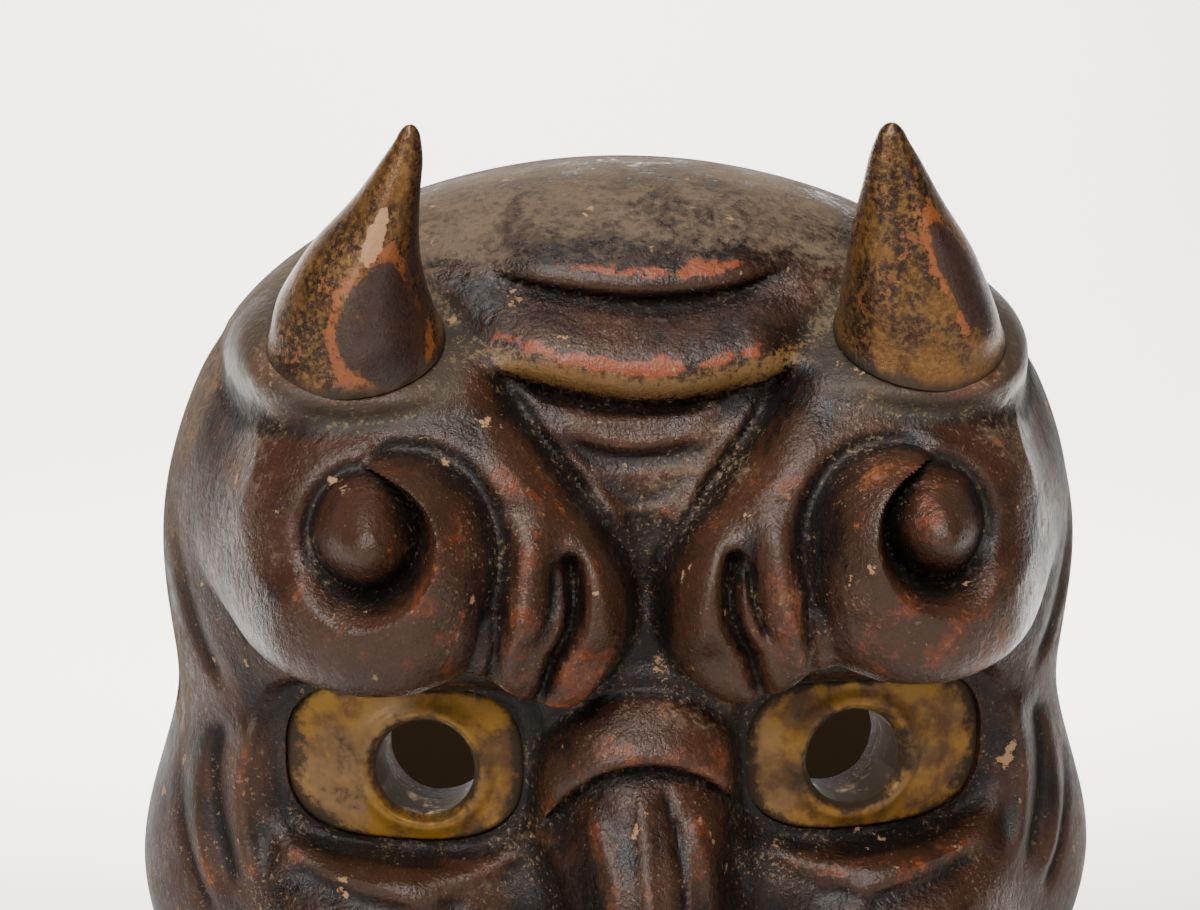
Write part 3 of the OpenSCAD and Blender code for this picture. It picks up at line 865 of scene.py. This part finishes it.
def gilt_eye(colours):
    """Ochre gold paint, darkened by soiling and painted shade at the joins, the roots and the pupil hole."""
    p = Paint("gilt_eye")
    mottle = p.noise(160, 5, 0.65)
    fine = p.noise(700, 4, 0.7)
    grime_and_shade = p.stored("grime_and_shade")
    broad = p.noise(48, 4, 0.65, warp=0.8)
    base = p.mix((mottle * 0.6 + broad * 0.4).step(0.42, 0.60), colours.ochre, (0.115, 0.046, 0.012))
    base = p.mix(p.noise(55, 3, 0.6).step(0.5, 0.64) * 0.5, base, (0.30, 0.180, 0.080))
    base = p.mix((fine * 0.6 + mottle * 0.4).step(0.52, 0.64) * 0.45, base, (0.36, 0.215, 0.045))
    # soiling and painted shade: near black at the joins, the roots and the pupil hole
    dirt_and_shade = (grime_and_shade + (mottle - 0.5) * 2.0 + (fine - 0.5) * 1.4 + (broad - 0.5) * 2.2).step(0.35, 0.95)
    base = p.mix(dirt_and_shade * 0.9, base, (0.030, 0.019, 0.010))
    rough = 0.38 + (fine - 0.5) * 0.3 + dirt_and_shade * 0.45
    relief = p.bump(fine * 0.6 + mottle * 0.7, 0.5, 0.0003)
    return p.surface(Base_Color=base, Roughness=rough, Metallic=(1 - dirt_and_shade) * 0.3, Normal=relief)


def bamboo(colours):
    """Split bamboo with its fibres along the pin."""
    p = Paint("bamboo_pin")
    fibre = p.noise(900, 4, 0.6, stretch=(1.0, 0.08, 1.0))
    base = p.mix(fibre.step(0.35, 0.7), colours.bamboo, (0.24, 0.13, 0.05))
    relief = p.bump(fibre, 0.5, 0.0002)
    return p.surface(Base_Color=base, Roughness=0.55 + (fibre - 0.5) * 0.2, Normal=relief)


FINISHES = {}


def finish(name):
    """The named material, made when it is first asked for."""
    makers = {"lacquer": lacquer, "horn": gilt_horn, "eye": gilt_eye, "bamboo": bamboo}
    if name not in FINISHES:
        FINISHES[name] = makers[name](bpy.context.scene.mask_colours)
    return FINISHES[name]


def dress(piece, material, node):
    """Give a piece its finish and its place in the frame."""
    piece.data.materials.clear()
    piece.data.materials.append(finish(material))
    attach(piece, "root")
    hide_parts(node)


def dress_gilt(piece, grime_and_shade, sharp_degrees, node):
    """Finish an eye plate, a row of teeth or a fang in ochre, with its soiling and painted shade."""
    face_outwards(piece)
    store(piece, "grime_and_shade", grime_and_shade)
    finish_surface(piece, sharp_degrees)
    dress(piece, "eye", node)


# ---------------------------------------------------------------- places on the mask


def horn_frame(side):
    """From a horn's own millimetres (z along its root) to the mask's."""
    lean = Matrix.Rotation(math.radians(90 - HORN_PITCH), 4, "X")
    splay = Matrix.Rotation(math.radians(side * HORN_SPLAY), 4, "Y")
    move = Matrix.Translation((side * HORN_SEAT[0], -HORN_SEAT_DEPTH, HORN_SEAT[1]))
    return move @ splay @ lean


def eye_frame(side):
    """From an eye's own millimetres (z towards the viewer) to the mask's."""
    upright = Matrix.Rotation(math.radians(90), 4, "X")
    turn = Matrix.Rotation(math.radians(side * EYE_TURN), 4, "Z")
    return Matrix.Translation((side * EYE_X[side], -EYE_DEPTH, 0)) @ turn @ upright


def pupil_shift(side):
    """The pupil hole's place across its eye plate."""
    return -side * (EYE_X[side] - PUPIL_X) / math.cos(math.radians(EYE_TURN))


def almond(side, grow, lid, count=96):
    """The eye's outline, squarish, and cut straight where it tucks under the brow."""
    points = []
    for k in range(count):
        c, s = math.cos(2 * math.pi * k / count), math.sin(2 * math.pi * k / count)
        across = math.copysign(abs(c) ** 0.62, c) * (EYE_W[side] / 2 + grow)
        up = math.copysign(abs(s) ** 0.72, s) * (EYE_H / 2 + grow) + 1.0
        points.append((across, min(up, lid)))
    return points


def brow_tool(side):
    """The flat-backed block that a brow is."""
    outline = [(side * x, z) for x, z in BROW_OUTLINE]
    return prism("brow_tool", outline, BROW_SEAT_DEPTH, BROW_SEAT_DEPTH + 60, facing_front)


def facing_front(x, z, depth):
    """From an outline drawn on the mask's front to the mask's millimetres."""
    return x, -depth, z


def horn_socket(side):
    """The round hole for a horn's tenon."""
    at = horn_frame(side)
    return rod("horn_socket", at @ Vector((0, 0, -TENON_LEN - 0.5)), at @ Vector((0, 0, 25)), TENON_R + 0.1)


def pin_hole(side):
    """The hole for the pin through a horn's tenon."""
    x, z = side * PIN[0], PIN[1]
    return rod("pin_hole", (x, -54.1, z), (x, -18, z), PIN_R + 0.05, 24)


def mouth_outline(count=96):
    """The open mouth's edge."""
    points = []
    for k in range(count):
        a = 2 * math.pi * k / count
        u = math.cos(a)
        points.append((MOUTH_W / 2 * u, MOUTH_Z + MOUTH_H / 2 * math.sin(a) - MOUTH_SAG * u * u))
    return points


# ---------------------------------------------------------------- pieces


def make_shell(shape, wear):
    """The hollow carved body with every seat, socket and opening."""
    cells = ((264, 318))
    points, faces = hollow_form(shape, *cells, 3)
    shell = new_mesh("face_shell_carving", points, faces)
    face_outwards(shell)
    tools = []
    for side in (LEFT, RIGHT):
        at = eye_frame(side)
        tools.append(brow_tool(side))
        tools += [horn_socket(side), pin_hole(side)]
        tools.append(prism("eye_pocket", almond(side, 0.06, BROW_BASE_Z), -EYE_T, 30,
                           lambda x, y, d, at=at: at @ Vector((x, y, d))))
        shift = pupil_shift(side)
        tools.append(rod("peep_hole", at @ Vector((shift, 0, -60)), at @ Vector((shift, 0, 0)), PEEP_HOLE_R, 64))
        nostril = Vector((side * 9, -52, -40))
        slant = Vector((0, math.cos(math.radians(32)), math.sin(math.radians(32))))
        tools.append(rod("nostril", nostril - 30 * slant, nostril + 30 * slant, NOSTRIL_R))
        tools.append(rod("cord_hole", (side * 60, -14, 4), (side * 119, -14, 4), CORD_HOLE_R))
    tools.append(prism("open_mouth", mouth_outline(), 0, 120, facing_front))
    carve(shell, tools)
    wear.paint(shell)
    finish_surface(shell)
    dress(shell, "lacquer", "face_shell")


def make_brow(shape, wear, name, side):
    """One brow block: the lobes and the scroll."""
    u_range = (-0.02, 0.80) if side == RIGHT else (-0.80, 0.02)
    count = ((290, 215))
    points, faces = front_block(shape, u_range, (0.02, 0.60), *count, 20)
    brow = new_mesh(f"{name}_brow_block", points, faces)
    face_outwards(brow)
    carve(brow, [brow_tool(side)], "INTERSECT")
    carve(brow, [horn_socket(side)])
    wear.paint(brow)
    finish_surface(brow)
    dress(brow, "lacquer", f"{name}_brow")


HORN_LENGTH, HORN_TIP_BACK = 38.0, 4.0
HORN_GIRTH = {"left": [(0, 0.5), (0.12, 0.495), (0.22, 0.46), (0.34, 0.395), (0.45, 0.33), (0.61, 0.225), (0.77, 0.155),
                       (0.91, 0.092), (1, 0.03)],
              "right": [(0, 0.5), (0.12, 0.495), (0.22, 0.475), (0.34, 0.43), (0.45, 0.375), (0.61, 0.285),
                        (0.77, 0.195), (0.91, 0.115), (1, 0.035)]}
HORN_LEAN = {"left": [(0, 0), (0.22, 0.4), (0.45, 2.6), (0.61, 6.2), (0.77, 9), (0.91, 11.6), (1, 12.4)],
             "right": [(0, 0), (0.22, 1.6), (0.45, 4.4), (0.61, 6.8), (0.77, 9), (0.91, 10.8), (1, 11.6)]}


def eased(t, pairs):
    """A table with its corners rounded."""
    near = np.clip(np.linspace(t - 0.09, t + 0.09, 9), 0, 1)
    return float(np.mean(table(near, pairs)))


# How far round from its facet each horn's band of painted shade is, in degrees; on both horns it faces the viewer's
# right, away from the brighter lamps
SHADE_BAND_TURN = {"left": 50, "right": 42}
# Middle (height along the horn, turn in degrees) and half size of each horn's dark facet
HORN_FACET = {"left": (0.27, 292, 0.25, 36), "right": (0.40, 318, 0.26, 24)}


def horn_wear(name, t, turn):
    """Soiling and painted shade at the foot, the dark facet with painted shade down one side, the orange line around
    the facet and the left horn's chip.
    """
    at, facing, tall, wide = HORN_FACET[name]
    across = (turn - facing + 180) % 360 - 180
    d = math.hypot((t - at) / tall, (across + 40 * (t - at)) / wide)
    # painted shade: a darker band down the side to the viewer's right, away from the brighter lamps
    inner = hill((across - SHADE_BAND_TURN[name]) / 34) * float(smooth((t - 0.1) / 0.2) * smooth((0.95 - t) / 0.3))
    chip = math.exp(-(((t - 0.62) / 0.13) ** 2 + ((turn - 262 + 30 * (t - 0.62)) / 17) ** 2)) if name == "left" else 0
    dark = max(float(smooth((1.15 - d) / 0.3)), 0.55 * inner)
    return math.exp(-t / 0.07), dark, math.exp(-((d - 1.15) / 0.22) ** 2), chip


def make_horn(shape, name, side):
    """A leaning horn with soft facets and a flared foot, and its round tenon."""
    base = shape.horn_base / MM
    at = horn_frame(side)
    rings, sides = 110, 80
    points, masks = [], {"grime_and_shade": [], "facet": [], "edge": [], "chip": []}
    for k in range(rings + 1):
        t = k / rings
        centre = Vector((-side * eased(t, HORN_LEAN[name]), HORN_TIP_BACK * t * t, HORN_LENGTH * t))
        cap = math.sqrt(max(0.0, 1 - max(0.0, (t - 0.95) / 0.05) ** 2))
        girth = base * eased(t, HORN_GIRTH[name]) * cap
        for j in range(sides):
            a = 2 * math.pi * j / sides
            facet = 0.055 * math.cos(3 * a + side * 2.2 + 1.1 * t) + 0.025 * math.cos(5 * a - side * 1.1)
            foot = 0.09 * math.exp(-(t / 0.07) ** 2)
            wave = 0.014 * math.sin(5 * t * math.pi + 2 * a)
            reach = max(0.05, girth * (1 + facet * min(1, 5 * t) * (1 - 0.5 * t) + foot + wave))
            points.append(at @ (centre + Vector((reach * math.cos(a), reach * math.sin(a), 0))))
            turn = math.degrees(a)
            for key, value in zip(masks, horn_wear(name, t, turn)):
                masks[key].append(value)
    points.append(at @ (centre + Vector((0, 0, 0.05))))
    for values in masks.values():
        values.append(values[-1])
    faces = end_faces(rings, sides)[:1] + tube_faces(rings, sides)
    faces += [[rings * sides + j, rings * sides + (j + 1) % sides, len(points) - 1] for j in range(sides)]
    horn = new_mesh(f"{name}_horn_carving", points, faces)
    face_outwards(horn)
    for key, values in masks.items():
        store(horn, key, values)
    tenon = rod("tenon", at @ Vector((0, 0, -TENON_LEN)), at @ Vector((0, 0, 3)), TENON_R, 64)
    carve(horn, [tenon], "UNION")
    carve(horn, [pin_hole(side)])
    finish_surface(horn)
    dress(horn, "horn", f"{name}_horn")


def make_eye(name, side):
    """A domed eye plate with a rounded pupil hole and a low ring around it."""
    at = eye_frame(side)
    outline = almond(side, 0.0, EYE_LID_Z, 128)
    hole = Vector((pupil_shift(side), 0))
    rows = 26
    points, grime_and_shade = [], []
    for k in range(rows + 1):
        t = k / rows
        for x, y in outline:
            rim = Vector((x, y))
            away = rim - hole
            edge = hole + away.normalized() * (PUPIL_D / 2)
            p = edge.lerp(rim, t ** 1.25)
            d = (p - hole).length - PUPIL_D / 2
            height = -(p.length_squared) / (2 * EYE_DOME_R)
            height += 0.7 * math.exp(-((d - 2.0) / 1.5) ** 2) - 1.4 * math.exp(-(d / 0.7) ** 2)
            height -= 0.5 * smooth((t - 0.93) / 0.07)
            points.append(at @ Vector((p.x, p.y, height)))
            # soiling and painted shade: darker round the pupil hole and towards the rim under the lids
            grime_and_shade.append(max(1.1 * math.exp(-d / 1.6), 0.95 * float(smooth((t - 0.72) / 0.28))))
    n = len(outline)
    # the plate's back and the pupil hole's wall: darkened throughout, soiling and painted shade
    for x, y in outline:
        points.append(at @ Vector((x, y, -EYE_T)))
        grime_and_shade.append(1.0)
    for x, y in outline:
        away = (Vector((x, y)) - hole).normalized() * (PUPIL_D / 2)
        points.append(at @ Vector((hole.x + away.x, hole.y + away.y, -EYE_T)))
        grime_and_shade.append(0.9)
    faces = tube_faces(rows, n)
    outer, back_rim, back_hole = rows * n, (rows + 1) * n, (rows + 2) * n
    for j in range(n):
        m = (j + 1) % n
        faces.append([outer + j, outer + m, back_rim + m, back_rim + j])
        faces.append([back_rim + j, back_rim + m, back_hole + m, back_hole + j])
        faces.append([back_hole + j, back_hole + m, m, j])
    dress_gilt(new_mesh(f"{name}_eye_plate", points, faces), grime_and_shade, 50, f"{name}_eye")


TEETH_HALF_W, TEETH_EACH, TOOTH_T, TOOTH_ROOT, TOOTH_SHOW = 20.5, 6, 7.0, 4.0, 5.0
FANG_X = {"upper": 24.5, "lower": 32.0}
FANG_D, FANG_LEN = 7.0, 13.0
WAYS = {"upper": 1, "lower": -1}


def mouth_edge(x, way):
    """Height of the mouth's upper (1) or lower (-1) edge."""
    u = 2 * x / MOUTH_W
    return MOUTH_Z + way * MOUTH_H / 2 * math.sqrt(1 - u * u) - MOUTH_SAG * u * u


def bite_depth(x):
    """How far forward the teeth stand."""
    return 57 - 9 * (x / TEETH_HALF_W) ** 2


def bulge(angle, power):
    """Sine that is flattened into a rounded box."""
    return math.copysign(abs(math.sin(angle)) ** power, math.sin(angle))


def make_teeth(row, way):
    """A row of rounded teeth, worn to slightly different lengths, with their roots in the lip."""
    width = 2 * TEETH_HALF_W / TEETH_EACH
    rings, sides = 20, 28
    points, faces, grime_and_shade = [], [], []
    for k in range(TEETH_EACH):
        x0 = (k + 0.5) * width - TEETH_HALF_W
        short = 0.4 * math.sin(2.3 * k + way)
        low = -TOOTH_SHOW + 0.4 + short if way > 0 else -TOOTH_ROOT
        high = TOOTH_ROOT if way > 0 else TOOTH_SHOW - 0.4 - short
        centre = Vector((x0, -bite_depth(x0) + TOOTH_T / 2, mouth_edge(x0, way) + (low + high) / 2))
        lean = math.atan(2 * 9 * x0 / TEETH_HALF_W ** 2)
        start = len(points)
        for i in range(rings + 1):
            polar = math.pi * (i / rings - 0.5)
            ring = math.cos(polar) ** 0.35 if 0 < i < rings else 0.02
            tall = bulge(polar, 0.6)
            for j in range(sides):
                a = 2 * math.pi * j / sides
                across = bulge(a, 0.55) * (width / 2 + 0.05) * ring
                deep = bulge(a + math.pi / 2, 0.7) * (TOOTH_T / 2 - 0.2) * ring
                points.append(centre + Vector((across * math.cos(lean) - deep * math.sin(lean) * 0.3,
                                               deep + across * math.sin(lean) * 0.5, tall * (high - low) / 2)))
                # soiling and painted shade: darker towards the root in the lip and at the joints between the teeth
                root = smooth((way * tall + 0.1) / 0.5)
                joint = smooth((abs(bulge(a, 0.55)) - 0.8) / 0.2)
                grime_and_shade.append(max(0.9 * root, 0.8 * joint))
        faces += tube_faces(rings, sides, start) + end_faces(rings, sides, start)
    dress_gilt(new_mesh(f"{row}_teeth_row", points, faces), grime_and_shade, 60, f"{row}_teeth")


def make_fang(row, way, name, side):
    """A curved fang with a faceted point."""
    x0 = FANG_X[row]
    foot = Vector((side * x0, -bite_depth(x0) + (1 if way > 0 else -2), mouth_edge(x0, way)))
    rings, sides = 36, 28
    points, grime_and_shade = [], []
    for i in range(rings + 1):
        t = i / rings
        along = -TOOTH_ROOT + FANG_LEN * t
        body = max(0.0, along / (FANG_LEN - TOOTH_ROOT))
        girth = (FANG_D / 2 - 0.1) * (1 - body ** 1.4 * 0.86) * math.sqrt(max(0.0, 1 - max(0, (t - 0.95) / 0.05) ** 2))
        for j in range(sides):
            a = 2 * math.pi * j / sides
            r = max(0.02, girth * (1 - 0.05 * math.cos(3 * a + side)))
            points.append(foot + Vector((r * math.cos(a) + side * 0.9 * body * (1 - body), r * math.sin(a),
                                         -way * along)))
            # soiling and painted shade: darker towards the root
            grime_and_shade.append(math.exp(-max(0.0, along) / 1.6))
    fang = new_mesh(f"{row}_{name}_fang_carving", points, tube_faces(rings, sides) + end_faces(rings, sides))
    dress_gilt(fang, grime_and_shade, 60, f"{row}_{name}_fang")


# ---------------------------------------------------------------- operators


class MASK_OT_shell(bpy.types.Operator):
    """Carve the shell and the two brow blocks"""
    bl_idname = "mask.shell"
    bl_label = "Shell and brows"

    def execute(self, context):
        shape = context.scene.mask_shape
        wear = WearMap(shape)
        make_shell(shape, wear)
        for name, side in SIDES.items():
            make_brow(shape, wear, name, side)
        return {"FINISHED"}


class MASK_OT_horns(bpy.types.Operator):
    """Carve the two horns"""
    bl_idname = "mask.horns"
    bl_label = "Horns"

    def execute(self, context):
        for name, side in SIDES.items():
            make_horn(context.scene.mask_shape, name, side)
        return {"FINISHED"}


class MASK_OT_eyes(bpy.types.Operator):
    """Make the two eye plates"""
    bl_idname = "mask.eyes"
    bl_label = "Eyes"

    def execute(self, context):
        for name, side in SIDES.items():
            make_eye(name, side)
        return {"FINISHED"}


class MASK_OT_teeth(bpy.types.Operator):
    """Carve the two rows of teeth and the four fangs"""
    bl_idname = "mask.teeth"
    bl_label = "Teeth and fangs"

    def execute(self, context):
        for row, way in WAYS.items():
            make_teeth(row, way)
            for name, side in SIDES.items():
                make_fang(row, way, name, side)
        return {"FINISHED"}


class MASK_OT_finish_frame(bpy.types.Operator):
    """Give the pins and dowels of the frame their bamboo"""
    bl_idname = "mask.finish_frame"
    bl_label = "Pins and dowels"

    def execute(self, context):
        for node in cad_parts:
            if "peg" in node:
                materials = bpy.data.objects[node].data.materials
                materials.clear()
                materials.append(finish("bamboo"))
        return {"FINISHED"}


class MASK_OT_stage(bpy.types.Operator):
    """Set the floor, the light and the camera"""
    bl_idname = "mask.stage"
    bl_label = "Stage"

    def execute(self, context):
        stage = context.scene.mask_stage
        make_floor(stage)
        make_pupil_shade_card()
        make_lights()
        make_camera(stage)
        return {"FINISHED"}


def make_floor(stage):
    """A pale floor that curves up behind the mask."""
    low = CAD_BOX[0][2] - 0.0005
    points, width, back, bend = [], 3.0, 1.4, 0.6
    profile = [(-3.0, low), (back - bend, low)]
    profile += [(back - bend + bend * math.sin(a), low + bend * (1 - math.cos(a)))
                for a in np.linspace(0, math.pi / 2, 16)[1:]]
    profile.append((back, low + 3.0))
    for y, z in profile:
        points += [(-width / MM, y / MM, z / MM), (width / MM, y / MM, z / MM)]
    faces = [[2 * k, 2 * k + 1, 2 * k + 3, 2 * k + 2] for k in range(len(profile) - 1)]
    floor = new_mesh("floor", points, faces)
    floor.data.shade_smooth()
    p = Paint("pale_floor")
    shade = p.noise(3, 2, 0.5)
    floor.data.materials.append(p.surface(Base_Color=p.mix(shade * 0.15, stage.floor, (0.80, 0.78, 0.74)),
                                          Roughness=0.85))


def make_pupil_shade_card():
    """Painted shade: a near-black card on the floor behind the mask, which is what the pupil holes look onto, so that
    they show dark.
    """
    low = CAD_BOX[0][2] / MM
    corners = []
    for x, y, turn in ((108, 300, 0), (-50, 300, 90), (-50, 122, 180), (108, 122, 270)):
        for step in range(7):
            a = math.radians(turn + 15 * step)
            corners.append((x + 12 * math.cos(a), y + 12 * math.sin(a)))
    shade_card = prism("pupil_shade_card", corners, -0.4, 1.2, lambda x, y, d: (x, y, low + d))
    # painted shade for the pupil holes: near black, matte and without shine
    p = Paint("painted_shade_card")
    card_grain = p.noise(900, 3, 0.6)
    shade_card.data.materials.append(p.surface(Base_Color=p.mix(card_grain, (0.0034, 0.0021, 0.0011), (0.0046, 0.0029, 0.0016)),
                                        Roughness=0.95, Specular_IOR_Level=0.0))


def add_light(name, kind, position, target, power, tint, **settings):
    """A light that points at a target."""
    data = bpy.data.lights.new(name, kind)
    for key, value in {"energy": power, "color": tint, **settings}.items():
        setattr(data, key, value)
    light = bpy.data.objects.new(name, data)
    light.location = position
    light.rotation_euler = (Vector(target) - Vector(position)).to_track_quat("-Z", "Y").to_euler()
    bpy.context.scene.collection.objects.link(light)


# Softboxes that light the mask: name, place, width and height, power, tint
SOFTBOXES = [("top_softbox", (-0.15, -0.45, 0.75), (0.6, 0.3), 6.0, (1.0, 0.97, 0.92)),
             ("key_lamp", (-0.12, -0.80, 0.62), (0.09, 0.09), 2.2, (1.0, 0.97, 0.93)),
             ("left_window", (-0.70, -0.75, 0.40), (0.25, 0.45), 3.2, (1.0, 0.97, 0.93)),
             ("right_wall", (0.55, -0.80, 0.30), (0.3, 0.5), 1.3, (1.0, 0.93, 0.84))]
MASK_MIDDLE = (0, -0.04, 0.03)


def make_lights():
    """A softbox overhead, a small lamp, a window to the left, a warm wall to the right and a lit backdrop."""
    for name, position, (width, height), power, tint in SOFTBOXES:
        add_light(name, "AREA", position, MASK_MIDDLE, power, tint, shape="RECTANGLE", size=width, size_y=height)
    add_light("backdrop_wash", "SPOT", (0, 0.2, 1.4), (0, 0.95, -0.1), 520, (1.0, 0.98, 0.955),
              spot_size=math.radians(72), spot_blend=0.6, shadow_soft_size=0.1)
    world = bpy.data.worlds.new("room")
    bpy.context.scene.world = world
    world.use_nodes = True
    background = world.node_tree.nodes["Background"]
    background.inputs["Color"].default_value = (1.0, 0.96, 0.92, 1.0)
    background.inputs["Strength"].default_value = 0.10


def make_camera(stage):
    """The camera, a little above and to the left, looking at the brows."""
    target = Vector((-0.0070, -0.050, 0.0540))
    turn, rise = stage.turn, stage.rise
    towards = Vector((-math.sin(turn) * math.cos(rise), -math.cos(turn) * math.cos(rise), math.sin(rise)))
    data = bpy.data.cameras.new("camera")
    data.lens = stage.focal
    data.sensor_width = 36.0
    data.clip_start = 0.01
    camera = bpy.data.objects.new("camera", data)
    camera.location = target + towards * stage.distance
    camera.rotation_euler = (-towards).to_track_quat("-Z", "Y").to_euler()
    bpy.context.scene.collection.objects.link(camera)
    bpy.context.scene.camera = camera


class MASK_PT_panel(bpy.types.Panel):
    """The mask's pieces and settings"""
    bl_idname = "MASK_PT_panel"
    bl_label = "Demon mask"
    bl_space_type = "VIEW_3D"
    bl_region_type = "UI"
    bl_category = "Mask"

    def draw(self, context):
        for operator in OPERATORS:
            self.layout.operator(operator.bl_idname)
        for group in ("mask_shape", "mask_colours", "mask_stage"):
            settings = getattr(context.scene, group)
            box = self.layout.box()
            for key in settings.__annotations__:
                box.prop(settings, key)


GROUPS = {"mask_shape": MaskShape, "mask_colours": MaskColours, "mask_stage": StageSettings}
OPERATORS = [MASK_OT_stage, MASK_OT_shell, MASK_OT_horns, MASK_OT_eyes, MASK_OT_teeth, MASK_OT_finish_frame]
CLASSES = [*GROUPS.values(), *OPERATORS, MASK_PT_panel]


def register():
    for cls in CLASSES:
        bpy.utils.register_class(cls)
    for key, group in GROUPS.items():
        setattr(bpy.types.Scene, key, PointerProperty(type=group))


def unregister():
    for key in GROUPS:
        delattr(bpy.types.Scene, key)
    for cls in reversed(CLASSES):
        bpy.utils.unregister_class(cls)


def write_sizes():
    """Bring the scene up to date."""
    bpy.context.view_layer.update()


def main():
    register()
    bpy.ops.mask.stage()
    bpy.ops.mask.shell()
    bpy.ops.mask.horns()
    bpy.ops.mask.eyes()
    bpy.ops.mask.teeth()
    bpy.ops.mask.finish_frame()
    write_sizes()


if __name__ == "__main__":
    main()
